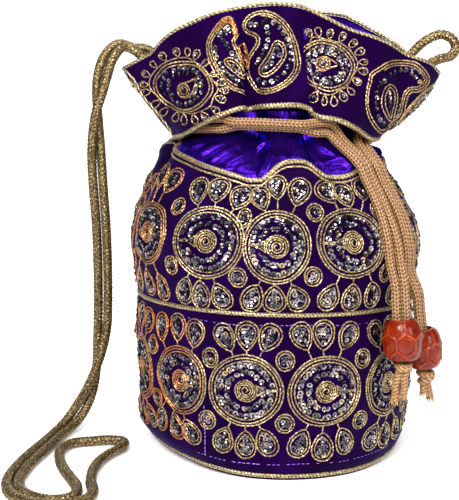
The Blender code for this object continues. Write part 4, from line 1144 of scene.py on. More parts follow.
upper = Work(velvet)
UPPER = [
    (-118.0, 113.0, 17.6, 17.0, 0.6), (-88.0, 114.0, 17.4, 16.8, 0.8), (-57.6, 114.3, 16.8, 16.4, 0.55), (-25.7, 113.0, 19.2, 17.6, 0.0),
    (0.3, 112.2, 16.2, 17.4, 0.0), (28.7, 113.8, 18.8, 16.9, 0.0), (59.0, 113.4, 17.6, 16.4, 0.0), (89.0, 113.0, 17.6, 16.6, 0.1),
    (118.8, 113.2, 17.6, 16.6, 0.1), (149.0, 113.0, 17.7, 16.6, 0.0), (179.0, 113.2, 17.7, 16.6, 0.0), (210.0, 113.0, 17.8, 16.6, 0.2),
]
for i, (a0, z0, rx, ry, tone) in enumerate(UPPER):
    medallion(upper, a0, z0, rx, ry, -1.0, tone)
    if i == 3:
        above = [(-33.6, 135.8, -16), (-24.4, 136.7, -2), (-14.8, 133.4, 20)]
        below = [(-35.0, 89.2, 18), (-27.8, 87.9, 0), (-19.6, 88.2, -28)]
    elif i == 4:
        above = [(-6.6, 133.2, -26), (-0.3, 138.6, -6), (8.9, 136.8, 18)]
        below = [(-8.0, 88.4, 24), (-0.2, 88.0, 0), (7.9, 88.8, -24)]
    elif i == 5:
        above = [(21.2, 136.8, -28), (29.4, 135.4, -14), (39.2, 137.8, 20)]
        below = [(19.8, 89.0, 24), (28.8, 88.4, 0), (38.2, 88.8, -12)]
    elif i == 2:
        above = [(-68.0, 141.0, -18), (-59.4, 141.8, -8), (-50.2, 139.8, 26)]
        below = [(-67.4, 89.6, 14), (-57.4, 89.4, -14), (-47.8, 88.6, -20)]
    else:
        j = [rng.uniform(-0.8, 0.8) for _ in range(4)]
        above = [(a0 - 8.6 + j[0], 136.4 + j[1], -24), (a0 + j[2] * 0.6, 137.6, 0), (a0 + 8.6 + j[3], 136.4, 24)]
        below = [(a0 - 8.2 + j[1], 89.0, 22), (a0 + j[3] * 0.5, 88.2, 0), (a0 + 8.2 + j[2], 89.0, -24)]
    for a, z, lean in above:
        limit = float(seam_z(a)) - 4.0
        long = min(14.8, 2 * (float(np.interp(limit, _z, _up)) - float(np.interp(z, _z, _up))))
        long = max(long, 12.6)
        petal(upper, a, z, lean, (11.9 if i != 4 else 10.6) + rng.uniform(-0.5, 0.5), long, tone, True, (a0, z0, rx, ry))
    for a, z, lean in below:
        petal(upper, a, z, lean, 10.6 + rng.uniform(-0.4, 0.4), 13.6 + rng.uniform(-0.5, 0.3), tone, False, (a0, z0, rx, ry))
    nxt = UPPER[(i + 1) % len(UPPER)][0]
    between = a0 + float(turn(nxt - a0)) / 2
    up, down = {2: ((-42.0, 128.2), (-41.2, 100.4)), 3: ((-12.3, 124.4), (-13.2, 97.6)), 4: ((14.6, 127.6), (13.3, 98.8)), 5: ((43.6, 128.0), (43.4, 98.8))}.get(i, ((between, 127.6), (between, 99.4)))
    roundel(upper, up[0], up[1], 6.4 if i == 3 else 8.4, 9.8 if i == 3 else 8.8, tone * 0.6)
    roundel(upper, down[0], down[1], 8.4, 9.0, tone * 0.6)

# ---------------------------------------------------------------- the camera, which the collar's drawing is laid out from
CAM_AT = np.array([-1.8, -480.0, 156.5])
CAM_YAW, CAM_TILT, CAM_ROLL, CAM_FOCAL = 2.73, 6.50, 1.04, 897.3
W, H = 459, 500
turned = Matrix.Rotation(math.radians(CAM_YAW), 4, "Z") @ Matrix.Rotation(math.radians(90 - CAM_TILT), 4, "X") @ Matrix.Rotation(math.radians(CAM_ROLL), 4, "Z")
_m = np.array(turned.to_3x3())
cam_x, cam_y, cam_back = _m[:, 0], _m[:, 1], _m[:, 2]


def seen_at(p):
    d = np.asarray(p, float) - CAM_AT
    z = -(d @ cam_back)
    return np.stack([W / 2 + CAM_FOCAL * (d @ cam_x) / z, H / 2 - CAM_FOCAL * (d @ cam_y) / z], -1)


def on_collar_seen(line, start):
    """(angle, share) on the collar of points given in the camera's frame, by Newton's steps from a start."""
    line = np.asarray(line, float)
    u = np.tile(np.asarray(start, float), (len(line), 1))
    for _ in range(14):
        here = seen_at(collar_base(u[:, 0], u[:, 1]))
        da = (seen_at(collar_base(u[:, 0] + 0.2, u[:, 1])) - here) / 0.2
        dv = (seen_at(collar_base(u[:, 0], u[:, 1] + 0.004)) - here) / 0.004
        e = line - here
        det = da[:, 0] * dv[:, 1] - da[:, 1] * dv[:, 0]
        det = np.where(np.abs(det) < 1e-6, 1e-6, det)
        ua = (e[:, 0] * dv[:, 1] - e[:, 1] * dv[:, 0]) / det
        uv = (da[:, 0] * e[:, 1] - da[:, 1] * e[:, 0]) / det
        u[:, 0] += np.clip(ua, -12, 12)
        u[:, 1] = np.clip(u[:, 1] + np.clip(uv, -0.25, 0.25), -0.03, 1.03)
    return u


_ca = np.arange(-180.0, 181.0, 1.0)
_cv = np.linspace(0.0, 1.0, 21)
_cg = collar_base(_ca[None, :], _cv[:, None])
_cl = np.concatenate([np.zeros((21, 1)), np.cumsum(np.linalg.norm(np.diff(_cg, axis=1), axis=2), axis=1)], 1)


def on_collar(a0, v0, lean=0.0, mirror=False):
    """A mapping of flat millimetres round a point of the collar to (angle, share)."""
    c, s = math.cos(math.radians(lean)), math.sin(math.radians(lean))
    high = float(np.linalg.norm(np.diff(collar_base(a0, np.linspace(0, 1, 21)), axis=0), axis=1).sum())

    def at(line):
        line = np.asarray(line, float)
        lx = -line[:, 0] if mirror else line[:, 0]
        x, y = lx * c + line[:, 1] * s, -lx * s + line[:, 1] * c
        v = np.clip(v0 + y / high, 0.0, 1.0)
        out = []
        for xx, vv in zip(x, v):
            k = min(int(vv * 20), 19)
            f = vv * 20 - k
            row = _cl[k] * (1 - f) + _cl[k + 1] * f
            base = np.interp(float(turn(a0)), _ca, row)
            whole = row[-1]
            want = (base + xx) % whole
            out.append((np.interp(want, row, _ca), vv))
        return np.array(out)
    return at


def traced(points, x0, y0, scale):
    """Points of a drawing brought to the camera's frame."""
    p = np.array(points, float)
    return np.stack([x0 + p[:, 0] / scale, y0 + p[:, 1] / scale], 1)


collar_work = Work(collar)

# paisley C, the middle one, tip to the left
C_OUT = traced([(290, 1150), (410, 1310), (560, 1325), (720, 1290), (870, 1200), (980, 1060), (1012, 900), (995, 760), (960, 600), (900, 440), (800, 300), (680, 205), (560, 157), (440, 155), (320, 205), (240, 290), (218, 380), (255, 455), (335, 500), (398, 532), (418, 585), (392, 650), (322, 740), (272, 830), (245, 930), (252, 1050)], 228, 0, 14.25)
C_EGG = traced([(700, 585), (780, 625), (820, 720), (812, 830), (750, 930), (640, 1030), (520, 1085), (440, 1055), (430, 980), (485, 890), (560, 790), (612, 700), (645, 620)], 228, 0, 14.25)
C_SPOTS = traced([(540, 290), (650, 330), (720, 400), (780, 480), (830, 570), (862, 660), (882, 770), (890, 870), (850, 960), (800, 1050), (710, 1120), (620, 1160), (520, 1180), (510, 330), (555, 400), (570, 480), (575, 575), (550, 660), (520, 720), (490, 790), (440, 850), (410, 900), (700, 720), (650, 790), (600, 870), (630, 900), (560, 950), (500, 985), (340, 300), (400, 355), (330, 350), (430, 1140), (690, 660), (735, 790)], 228, 0, 14.25)
# paisley B, left of the crease
B_OUT = traced([(725, 1290), (600, 1272), (480, 1222), (360, 1132), (262, 1020), (190, 900), (130, 760), (102, 640), (97, 540), (132, 430), (200, 330), (290, 222), (380, 152), (460, 142), (530, 190), (570, 290), (587, 370), (570, 450), (528, 515), (562, 600), (602, 700), (650, 800), (682, 900), (705, 1000), (720, 1150)], 200, 8, 15.08)
B_EGG = traced([(370, 800), (430, 762), (520, 792), (600, 860), (660, 960), (690, 1060), (620, 1058), (530, 990), (440, 920), (382, 862)], 200, 8, 15.08)
B_SPOTS = traced([(240, 610), (245, 680), (262, 760), (320, 850), (340, 930), (385, 975), (430, 1020), (500, 1060), (560, 1110), (620, 1165), (340, 340), (400, 330), (450, 320), (480, 350), (380, 390), (420, 300), (310, 420), (350, 500), (400, 570), (440, 640), (480, 700), (540, 770), (500, 900), (570, 980)], 200, 8, 15.08)
# paisley E, at the right
E_OUT = traced([(190, 400), (330, 290), (480, 192), (640, 152), (830, 157), (960, 190), (1090, 290), (1180, 400), (1212, 480), (1190, 570), (1120, 655), (1000, 705), (905, 712), (852, 762), (822, 860), (795, 980), (772, 1100), (702, 1190), (562, 1280), (345, 1430), (232, 1310), (162, 1180), (112, 1020), (107, 850), (132, 650), (170, 500)], 360, 52, 17.81)
E_EGG = traced([(540, 580), (620, 660), (642, 800), (640, 950), (602, 1100), (568, 1220), (480, 1205), (402, 1100), (362, 980), (372, 830), (420, 700), (480, 612)], 360, 52, 17.81)
E_SPOTS = traced([(360, 560), (430, 520), (520, 410), (600, 360), (700, 320), (800, 320), (880, 380), (950, 450), (1030, 520), (1080, 430), (1010, 350), (900, 290), (320, 640), (290, 730), (290, 820), (270, 920), (280, 1020), (300, 1140), (380, 1260), (440, 1310), (490, 730), (490, 820), (480, 900), (470, 1000), (480, 1080), (690, 850), (680, 950), (660, 1050), (640, 1120), (330, 1200)], 360, 52, 17.81)
# medallion A, at the left
A_OUT = traced([(860, 405), (740, 420), (640, 462), (560, 540), (500, 630), (477, 740), (500, 840), (570, 930), (660, 1010), (760, 1060), (880, 1078), (1000, 1050), (1110, 990), (1190, 900), (1240, 800), (1243, 720), (1210, 620), (1150, 530), (1060, 450), (960, 412)], 118, 30, 13.07)
A_LOOPS = traced([(755, 290), (890, 285), (1010, 320), (1135, 440), (1262, 580), (1350, 690), (1385, 790), (1340, 900), (1275, 1045), (1140, 1125), (1010, 1165), (870, 1165), (745, 1135), (600, 1065), (500, 960), (370, 810), (345, 710), (380, 575), (485, 450), (610, 350)], 118, 30, 13.07)
A_HEART = traced([(1040, 632), (900, 682), (800, 705), (765, 780), (788, 850), (850, 885), (930, 862), (990, 785), (1015, 705)], 118, 30, 13.07)
A_EYE = traced([(850, 790)], 118, 30, 13.07)[0]
# medallion D, right of the second crease
D_OUT = traced([(120, 620), (150, 500), (210, 425), (300, 370), (420, 337), (560, 350), (700, 400), (850, 500), (960, 620), (1010, 740), (1000, 860), (940, 1000), (840, 1110), (700, 1160), (560, 1172), (400, 1120), (262, 1050), (190, 930), (140, 780)], 294, 20, 16.68)
D_LOOPS = traced([(265, 210), (410, 200), (600, 240), (795, 290), (975, 400), (1095, 530), (1160, 700), (1150, 850), (1050, 1020), (940, 1190), (815, 1270), (670, 1340), (505, 1320), (345, 1260)], 294, 20, 16.68)
D_HEART = traced([(720, 760), (620, 660), (500, 620), (400, 640), (365, 720), (395, 810), (480, 850), (590, 800)], 294, 20, 16.68)
D_EYE = traced([(490, 715)], 294, 20, 16.68)[0]

PX = 2.14    # pixels of the frame to a millimetre, about the collar


def centre_of(line):
    return np.asarray(line).mean(0)


def collar_line(line, start=None, to=None, centre=None):
    """Surface coordinates of a drawing line: as the camera sees it, or about another place of the collar."""
    if to is not None:
        flat = (np.asarray(line, float) - centre) / PX * np.array([1.0, -1.0])
        return to(flat)
    return on_collar_seen(line, start)


def cut_at_creases(line, closed):
    """Pieces of a line that don't cross the collar's two creases, where the cloth turns under."""
    a, v = turn(line[:, 0]), line[:, 1]
    side = np.zeros(len(line), int)
    live = (np.abs(a) < 60) & (v < 0.93)
    side[live & (a > table(CREASE_RIGHT, v) + 0.6)] = 2
    side[live & (a < table(CREASE_LEFT, v) - 0.2)] = 1
    if len(set(side[live].tolist())) <= 1:
        return [(line, closed)]
    pieces, current = [], [0]
    order = list(range(len(line)))
    if closed:      # start at a change of side
        for k in range(len(line)):
            if side[k] != side[k - 1]:
                order = order[k:] + order[:k]
                break
    current = [order[0]]
    for p, q in zip(order, order[1:]):
        if side[q] != side[p]:
            pieces.append(current)
            current = [q]
        else:
            current.append(q)
    pieces.append(current)
    return [(line[c], False) for c in pieces if len(c) > 2]


def put(line, closed, tone, radius=0.38, only=None, **where):
    """One thread on the collar. only is the crease side that it is kept on: 0 the middle, 1 the left, 2 the right."""
    flat = collar_line(line, **where)
    if len(flat) > 2 and np.abs(np.diff(turn(flat[:, 0]))).max() > 90:
        collar_work.thread(flat, closed, radius, tone)
        return
    if only is not None:
        a, v = turn(flat[:, 0]), flat[:, 1]
        if only == 2:
            good = a > table(CREASE_RIGHT, v) + 0.4
        elif only == 1:
            good = a < table(CREASE_LEFT, v) - 0.1
        else:
            good = (a < table(CREASE_RIGHT, v) + 0.2) & (a > table(CREASE_LEFT, v) + 0.2)
        if good.all():
            collar_work.thread(flat, closed, radius, tone)
            return
        run = []
        n = len(flat)
        start = next((k for k in range(n) if good[k] and not good[k - 1]), 0)
        for k in range(n):
            q = (start + k) % n
            if good[q]:
                run.append(q)
            else:
                if len(run) > 2:
                    collar_work.thread(flat[run], False, radius, tone)
                run = []
        if len(run) > 2:
            collar_work.thread(flat[run], False, radius, tone)
        return
    collar_work.thread(flat, closed, radius, tone)


def put_spots(spots, radius=1.35, only=None, tone=None, **where):
    flat = collar_line(spots, **where)
    for a, v in flat:
        t = float(turn(a))
        if only == 2 and t < float(table(CREASE_RIGHT, v)) + 1.0:
            continue
        if only == 1 and t > float(table(CREASE_LEFT, v)) - 0.6:
            continue
        if only == 0 and (t > float(table(CREASE_RIGHT, v)) - 0.6 or t < float(table(CREASE_LEFT, v)) + 0.8):
            continue
        collar_work.sequin(a, v, radius * rng.uniform(0.92, 1.05), tone)


def paisley(out, egg, spots, tone, only=None, curl=None, **where):
    base = closed_curve(out, 1.6)
    for off in (0.0, 2.6, 5.0):
        line = shrink(base, off)
        if off > 4:     # the third line follows the back of the shape only
            line = line[(np.arange(len(line)) > len(line) * 0.06) & (np.arange(len(line)) < len(line) * 0.62)]
            put(unevenly(line, 0.3, False), False, tone, 0.36, only, **where)
        else:
            put(unevenly(line, 0.3), True, tone, 0.38, only, **where)
    inner = closed_curve(egg, 1.4)
    put(unevenly(inner, 0.25), True, tone, 0.36, only, **where)
    put(unevenly(shrink(inner, 2.9), 0.2), True, tone, 0.34, only, **where)
    put_spots(spots, 1.3, only, **where)
    if curl is not None:
        put(curl, False, 1.0, 0.55, only, **where)


def ring_of_loops(centres, out, tone, only=None, **where):
    """Small loops round a medallion on one running thread."""
    mid = centre_of(out)
    n = len(centres)
    run = []
    for i, c in enumerate(centres):
        toward = unit((mid - c)[None])[0]
        side = np.array([-toward[1], toward[0]])
        big = 5.1 + rng.uniform(-0.7, 0.5)
        t = np.linspace(0, 2 * math.pi, 22, endpoint=False)
        foot = c + toward * big * 1.25
        leaf = c[None] - toward[None] * (np.cos(t) * big)[:, None] * -1.0 + side[None] * (np.sin(t) * big * 0.78 * (0.5 - 0.5 * np.cos(t)) ** 0.35)[:, None]
        put(leaf, True, tone, 0.34, only, **where)
        run.append(foot)
        if rng.uniform() < 0.75:
            put_spots([c - toward * 0.6], 1.15, only, **where)
    put(closed_curve(run, 1.5), True, tone, 0.34, only, **where)


_ring = np.linspace(0, 2 * math.pi, 26, endpoint=False)


def round_motif(out, loops, heart, eye, tone, only=None, heart_tone=0.5, **where):
    base = closed_curve(out, 1.6)
    mid = centre_of(base)
    put(unevenly(base, 0.3), True, tone, 0.38, only, **where)
    put(unevenly(shrink(base, 2.9), 0.3), True, tone, 0.38, only, **where)
    ring_of_loops(loops, out, tone, only, **where)
    put(unevenly(closed_curve(heart, 1.2), 0.2), True, heart_tone * 0.6, 0.44, only, **where)
    for r in (6.4, 4.0):
        put(np.stack([eye[0] + r * np.cos(_ring), eye[1] + r * np.sin(_ring)], 1), True, heart_tone * 0.4, 0.34, only, **where)
    put_spots(np.array([eye]), 1.2, only, **where)
    for share in (0.70, 0.53):
        ring = mid + (base - mid) * share
        ring = spaced(np.concatenate([ring, ring[:1]]), 5.3, True)
        near = np.linalg.norm(ring - eye, axis=1) > 10.0
        put_spots(ring[near] + rng.normal(size=(int(near.sum()), 2)) * 0.8, 1.32, only, **where)


paisley(C_OUT, C_EGG, C_SPOTS, 0.1, 0, start=(-4.0, 0.5))
paisley(B_OUT, B_EGG, B_SPOTS, 0.15, 1, start=(-23.0, 0.55), curl=smooth_line(traced([(300, 235), (385, 175), (460, 165), (515, 210), (550, 300), (562, 380), (540, 450), (515, 490)], 200, 8, 15.08), 1.4))
for off in (4.5, 8.0):
    put(smooth_line(traced([(250 + off, 330), (330, 245 + off * 4), (400, 195 + off * 4), (455, 190 + off * 4), (500 - off, 235 + off * 2), (530 - off * 2, 320), (530 - off * 2, 400)], 200, 8, 15.08), 1.4), False, 1.0, 0.5, 1, start=(-21.0, 0.8))
paisley(E_OUT, E_EGG, E_SPOTS, 0.2, None, start=(55.0, 0.5))
round_motif(A_OUT, A_LOOPS, A_HEART, A_EYE, 0.15, 1, start=(-44.0, 0.45))
round_motif(D_OUT, D_LOOPS, D_HEART, D_EYE, 0.1, 2, start=(21.0, 0.5))
# the small leaves between the two middle paisleys, and at the right end
leaf = closed_curve(traced([(600, 610), (630, 525), (680, 600), (700, 685), (672, 745), (625, 700)], 200, 8, 15.08), 1.2)
put(leaf, True, 0.9, 0.40, None, start=(-18.0, 0.6))
put(shrink(leaf, 2.4), True, 0.9, 0.36, None, start=(-18.0, 0.6))
for s in ([(650, 760), (690, 830), (720, 900)], [(770, 700), (740, 790), (725, 880)], [(600, 720), (650, 830), (690, 920)]):
    put(smooth_line(traced(s, 200, 8, 15.08), 1.2), False, 0.8, 0.44, None, start=(-17.5, 0.5))
oval_e = traced([(860, 1040), (880, 950), (950, 885), (1020, 890), (1000, 970), (930, 1040)], 360, 52, 17.81)
put(closed_curve(oval_e, 1.2), True, 0.7, 0.44, None, start=(75.0, 0.5))

# the same repeat goes on round the back
c_mid, e_mid, a_mid = centre_of(C_OUT), centre_of(E_OUT), centre_of(A_OUT)
for a0, kind, flip in ((91.0, "p", True), (121.0, "m", False), (151.0, "p", False), (177.0, "p", True), (208.0, "m", False), (238.0, "p", False), (264.0, "p", True)):
    if kind == "m":
        to = on_collar(a0, 0.50, rng.uniform(-6, 6), flip)
        k = 0.92
        round_motif(a_mid + (A_OUT - a_mid) * k, a_mid + (A_LOOPS - a_mid) * k, a_mid + (A_HEART - a_mid) * k, a_mid + (A_EYE - a_mid) * k, 0.1, None, to=to, centre=a_mid)
    else:
        to = on_collar(a0, 0.53, rng.uniform(-5, 5) + (8 if flip else -8), flip)
        k = 0.88
        paisley(c_mid + (C_OUT - c_mid) * k, c_mid + (C_EGG - c_mid) * k, c_mid + (C_SPOTS - c_mid) * k, 0.1, None, to=to, centre=c_mid)

patchy = waves(9, 10, 26)


def coppery(a, z):
    """Where the copper thread turns to gold: right of the first medallions, and in places."""
    p = round_point(a, 73.0, z)
    side = 1.0 - 0.75 * step(-41.0, -29.0, turn(a)) * step(-60.0, -50.0, turn(a))
    return side * np.clip(0.85 + 0.45 * patchy(p), 0.25, 1.0)


lower.fade = coppery
zari_lower = lower.build_threads("zari_lower_band")
zari_upper = upper.build_threads("zari_upper_band")
zari_collar = collar_work.build_threads("zari_collar")
sequins_lower = lower.build_sequins("sequins_lower_band")
sequins_upper = upper.build_sequins("sequins_upper_band")
sequins_collar = collar_work.build_sequins("sequins_collar")

# ================================================================ drawcords, beads and knots
RUN_FRONT = ((45.4, 82.6, 93.0), (45.2, 87.4, 50.0))
RUN_REAR = ((57.0, 82.6, 88.0), (59.6, 87.6, 44.0))
BEAD_FRONT_Z, BEAD_REAR_Z = 68.0, 61.0
PAIR = CORD_D / 2 + 0.16
LOOSE = CORD_D / 2 + 0.45
CLIMB_FRONT = [(105.0, 45.2), (112.0, 44.6), (120.0, 44.2), (128.0, 44.2), (136.0, 43.8), (143.0, 42.8), (149.5, 41.4), (155.5, 39.8), (160.2, 37.4)]
CLIMB_REAR = [(99.0, 57.0), (107.0, 56.0), (116.0, 55.2), (125.0, 54.8), (134.0, 54.2), (142.0, 53.4), (149.0, 52.6), (155.5, 52.6), (160.0, 54.8)]
LEAVE_LEFT, LEAVE_RIGHT = 32.5, -360.0 + 63.0


def run_frame(run, height):
    top, foot = Vector(round_point(*run[0])), Vector(round_point(*run[1]))
    axis = (top - foot).normalized()
    centre = foot + axis * ((height - foot.z) / axis.z)
    side = Vector((1.0, 0.12, 0.0)) if run is RUN_FRONT else axis.cross(Vector((centre.x, centre.y, 0)))
    side = (side - axis * side.dot(axis)).normalized()
    return centre, axis, side if side.x > 0 else -side


def clear_r(a, z, radius):
    reach = radius + 0.5
    best = 0.0
    for k in range(-8, 9):
        dz = reach * k / 8
        crest = float(crest_r(a, z + dz)) + (1.5 if abs(z + dz - float(seam_z(a))) < 1.6 else 0.0)
        best = max(best, crest + math.sqrt(max(0.0, reach * reach - dz * dz)))
    return best


def drawcord_line(k):
    sign = -1.0 if k == 0 else 1.0
    foot = -(BEAD_L / 2 + 0.4)
    ends = []
    for run, height, way in ((RUN_FRONT, BEAD_FRONT_Z, 1.0), (RUN_REAR, BEAD_REAR_Z, -1.0)):
        centre, axis, side = run_frame(run, height)
        top = (run[0][2] - height) / axis.z
        ends.append([centre + axis * t + side * (sign * way * PAIR) for t in (foot, foot * 0.5, 0.0, top * 0.35, top * 0.7, top)])
    middle = [(a, z) for z, a in CLIMB_FRONT]
    count = 34
    for i in range(count + 1):
        a = LEAVE_LEFT + (LEAVE_RIGHT - LEAVE_LEFT) * i / count
        middle.append((a, NECK_MID_Z + NECK_LIFT * max(0.0, math.cos(math.radians(a))) - NECK_TILT * math.sin(math.radians(a))))
    middle += [(a - 360.0, z) for z, a in reversed(CLIMB_REAR)]
    tilts = [math.radians(72.0) * float(step(-36.0, -25.0, a)) * (1.0 - float(step(12.0, 29.0, a))) if a > -180.0 else 0.0 for a, _ in middle]
    centres = [Vector(round_point(a, clear_r(a, z, CORD_D / 2) + LOOSE * math.sin(t), z)) for (a, z), t in zip(middle, tilts)]
    run_side = run_frame(RUN_FRONT, 93.0)[2]
    made = []
    for i, c in enumerate(centres):
        along = (centres[min(i + 1, len(centres) - 1)] - centres[max(i - 1, 0)]).normalized()
        a, z = middle[i]
        slope = (float(crest_r(a, z + 1.5)) - float(crest_r(a, z - 1.5))) / 3.0
        out = Vector((math.sin(math.radians(a)), -math.cos(math.radians(a)), -max(-1.2, min(1.2, slope)))).normalized()
        side = along.cross(out).normalized()
        if i < len(CLIMB_FRONT):
            share = 1.0 - float(step(100.0, 132.0, z))
            side = (side * (1.0 - share) + run_side * share).normalized()
            c = c + out * (1.6 * share)
        p = c + (side * math.cos(tilts[i]) + out * math.sin(tilts[i])) * (sign * LOOSE)
        pa = math.degrees(math.atan2(p.x, -p.y))
        r = max(math.hypot(p.x, p.y), clear_r(pa, p.z, CORD_D / 2))
        made.append(Vector(round_point(pa, r, p.z)))
    return [np.array(p) for p in ends[0] + made + ends[1][::-1]]


for k, name in ((0, "lower"), (1, "upper")):
    line = smooth_line(drawcord_line(k), 0.49)
    out = unit(np.stack([line[:, 0], line[:, 1], np.zeros(len(line))], 1))
    obj = textured_tube(f"braided_drawcord_{name}", line, CORD_D / 2 - 0.02, braid_relief(8, 1.85, 0.50, k), M_BRAID, 32, out=out)


def hexes(u, v):
    """Distance to the nearest edge of a honeycomb with cells one unit across."""
    s = np.array([1.0, math.sqrt(3.0)])
    p = np.stack([u, v], -1)
    a = (p + s / 2) % s - s / 2
    b = p % s - s / 2
    near = np.where((a ** 2).sum(-1, keepdims=True) < (b ** 2).sum(-1, keepdims=True), a, b)
    q = np.abs(near)
    return 0.5 - np.maximum(q[..., 0], q[..., 0] * 0.5 + q[..., 1] * math.sqrt(3.0) / 2)


def bead(name, run, height, body, spin):
    centre, axis, _ = run_frame(run, height)
    frame3 = np.array(axis.to_track_quat("Z", "Y").to_matrix())
    around, up = 152, 86
    ang = np.linspace(0, 2 * math.pi, around, endpoint=False)
    t = np.linspace(-1, 1, up)
    r = 5.9 + (BEAD_D / 2 - 5.9) * (1 - np.abs(t) ** 2.4) ** 0.62
    aa, tt = np.meshgrid(ang, t)
    cells = 6
    u = aa / (2 * math.pi) * cells + spin
    v = tt * BEAD_L / 2 / (math.pi * BEAD_D / cells) + 0.21
    edge = hexes(u, v)
    ridge = np.exp(-(edge / 0.055) ** 2)
    # the carved grooves' profile sinks the surface and also darkens its colour below: painted shade
    groove_shade = np.exp(-((edge - 0.11) / 0.035) ** 2)
    squares = 0.5 + 0.5 * np.cos(2 * math.pi * aa * BEAD_D / 2 / 1.21) * np.cos(2 * math.pi * tt * BEAD_L / 2 / 1.3)
    inside = np.clip((edge - 0.14) / 0.05, 0, 1)
    fade = np.clip((1 - np.abs(tt)) / 0.14, 0, 1)
    h = (0.34 * ridge - 0.16 * groove_shade - 0.10 * squares * inside) * fade - 0.16
    rr = r[:, None] + h
    outer = np.stack([rr * np.cos(aa), rr * np.sin(aa), tt * (BEAD_L / 2 - 0.05)], -1)
    # share of the body colour kept: lower in the grooves and etched squares, 0.6 at the plain ends and 0.25 in the
    # bore; the darkening is painted shade
    shade_mark = np.clip(1.0 - 0.9 * groove_shade - 0.78 * squares * inside, 0, 1) * fade + (1 - fade) * 0.6
    bore_t = np.array([1.0, 0.93, 0.0, -0.93, -1.0])
    bore_r = np.array([BEAD_BORE_R + 0.5, BEAD_BORE_R, BEAD_BORE_R, BEAD_BORE_R, BEAD_BORE_R + 0.5])
    ba, bt = np.meshgrid(ang, bore_t)
    bore = np.stack([bore_r[:, None] * np.cos(ba), bore_r[:, None] * np.sin(ba), bt * (BEAD_L / 2 - 0.12)], -1)
    grid = np.concatenate([outer, bore])
    shade_marks = np.concatenate([shade_mark, np.full(bore.shape[:2], 0.25)])
    rows = grid.shape[0]
    i = np.arange(around)
    j = (i + 1) % around
    quads = [np.stack([k * around + i, k * around + j, ((k + 1) % rows) * around + j, ((k + 1) % rows) * around + i], 1) for k in range(rows)]
    points = grid.reshape(-1, 3) @ frame3.T + np.array(centre)
    obj = make(name, points, np.concatenate(quads), [], M_BEAD, body, attributes={"groove_shade": shade_marks.reshape(-1)})
    return obj


bead_front = bead("moulded_bead_front", RUN_FRONT, BEAD_FRONT_Z, "bead_front", 0.15)
bead_rear = bead("moulded_bead_rear", RUN_REAR, BEAD_REAR_Z, "bead_rear", 0.55)
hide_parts("bead_front")
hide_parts("bead_rear")


def knot(name, run, height, size, tails, wraps):
    """The pair tied under its bead: a few turns of the braid, and the cut ends with loose fibres."""
    centre, axis, side = run_frame(run, height)
    fore = axis.cross(side).normalized()
    top = -(BEAD_L / 2 + 0.75)
    hub = centre + axis * (top - size[2])
    pieces = []
    relief = braid_relief(6, 1.7, 0.26, 5)
    for n, (tilt, lift, radius, thick) in enumerate(wraps):
        t = np.linspace(0, 2 * math.pi, 40, endpoint=False)
        c, s = math.cos(math.radians(tilt)), math.sin(math.radians(tilt))
        ring = []
        for x in t:
            p = side * (radius * math.cos(x)) + fore * (radius * math.sin(x) * c) + axis * (radius * math.sin(x) * s + lift)
            ring.append(np.array(hub + p))
        pieces.append(textured_tube(f"{name}_turn_{n}", spaced(np.array(ring + ring[:1]), 0.6, True, True), thick, relief, M_BRAID, 14, True))
    for n, (lean, out, long) in enumerate(tails):
        start = hub + side * lean[0] + axis * 1.2
        d = (-axis + side * lean[1] + fore * out).normalized()
        wave = [start + d * (long * k / 5) + side * (0.35 * math.sin(k * 1.7 + n)) for k in range(6)]
        line = smooth_line([np.array(p) for p in wave], 0.55)
        pieces.append(textured_tube(f"{name}_end_{n}", line, 1.80, relief, M_BRAID, 16, taper=lambda q: 1.0 + 0.10 * np.clip((q - 0.8) / 0.2, 0, 1)))
        g = np.random.default_rng(31 + n)
        tip = Vector(line[-1])
        for f in range(16):
            a = 2 * math.pi * f / 16 + g.uniform(-0.2, 0.2)
            q = tip - d * 1.0 + (side * math.cos(a) + fore * math.sin(a)) * (1.0 + 0.5 * g.uniform())
            e = (d + (side * math.cos(a) + fore * math.sin(a)) * g.uniform(0.1, 0.5)).normalized()
            fl = g.uniform(2.0, 3.4)
            strand = smooth_line([np.array(q), np.array(q + e * fl * 0.5), np.array(q + e * fl + side * g.uniform(-0.4, 0.4))], 0.7)
            strands.append((strand, 0.24))
    return pieces


strands = []
knot_front = knot("front_knot", RUN_FRONT, BEAD_FRONT_Z, (4.9, 4.7, 2.9), [((-2.0, -0.21), 0.02, 17.0), ((1.5, -0.19), -0.05, 14.6)], [(8, 0.9, 2.7, 1.55), (-14, -1.2, 2.5, 1.5)])
knot_rear = knot("rear_knot", RUN_REAR, BEAD_REAR_Z, (4.9, 4.7, 3.6), [((-1.6, -0.12), 0.12, 9.6), ((1.1, 0.02), -0.03, 13.4)], [(12, 1.4, 3.0, 1.7), (-18, -1.6, 2.9, 1.7), (60, 0.0, 2.6, 1.5)])
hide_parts("knot_front")
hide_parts("knot_rear")


def fibres(name, lines):
    """Loose fibres, each a thin closed tube, as one piece."""
    points, quads, count = [], [], 0
    for line, r in lines:
        t, n, b = frames(line)
        k = len(line)
        ang = np.arange(4) * math.pi / 2
        width = r * np.linspace(1.0, 0.55, k)
        ring = line[:, None] + n[:, None] * (np.cos(ang)[None] * width[:, None])[..., None] + b[:, None] * (np.sin(ang)[None] * width[:, None])[..., None]
        idx = count + np.arange(k * 4).reshape(k, 4)
        for c in range(4):
            d = (c + 1) % 4
            quads.append(np.stack([idx[:-1, c], idx[:-1, d], idx[1:, d], idx[1:, c]], 1))
        quads.append(np.array([[idx[0, 3], idx[0, 2], idx[0, 1], idx[0, 0]], [idx[-1, 0], idx[-1, 1], idx[-1, 2], idx[-1, 3]]]))
        points.append(ring.reshape(-1, 3))
        count += k * 4
    # the loose fibres all take 0.9: a slight painted shade
    return make(name, np.concatenate(points), np.concatenate(quads), [], M_BRAID, attributes={"groove_shade": np.full(count, 0.9)})


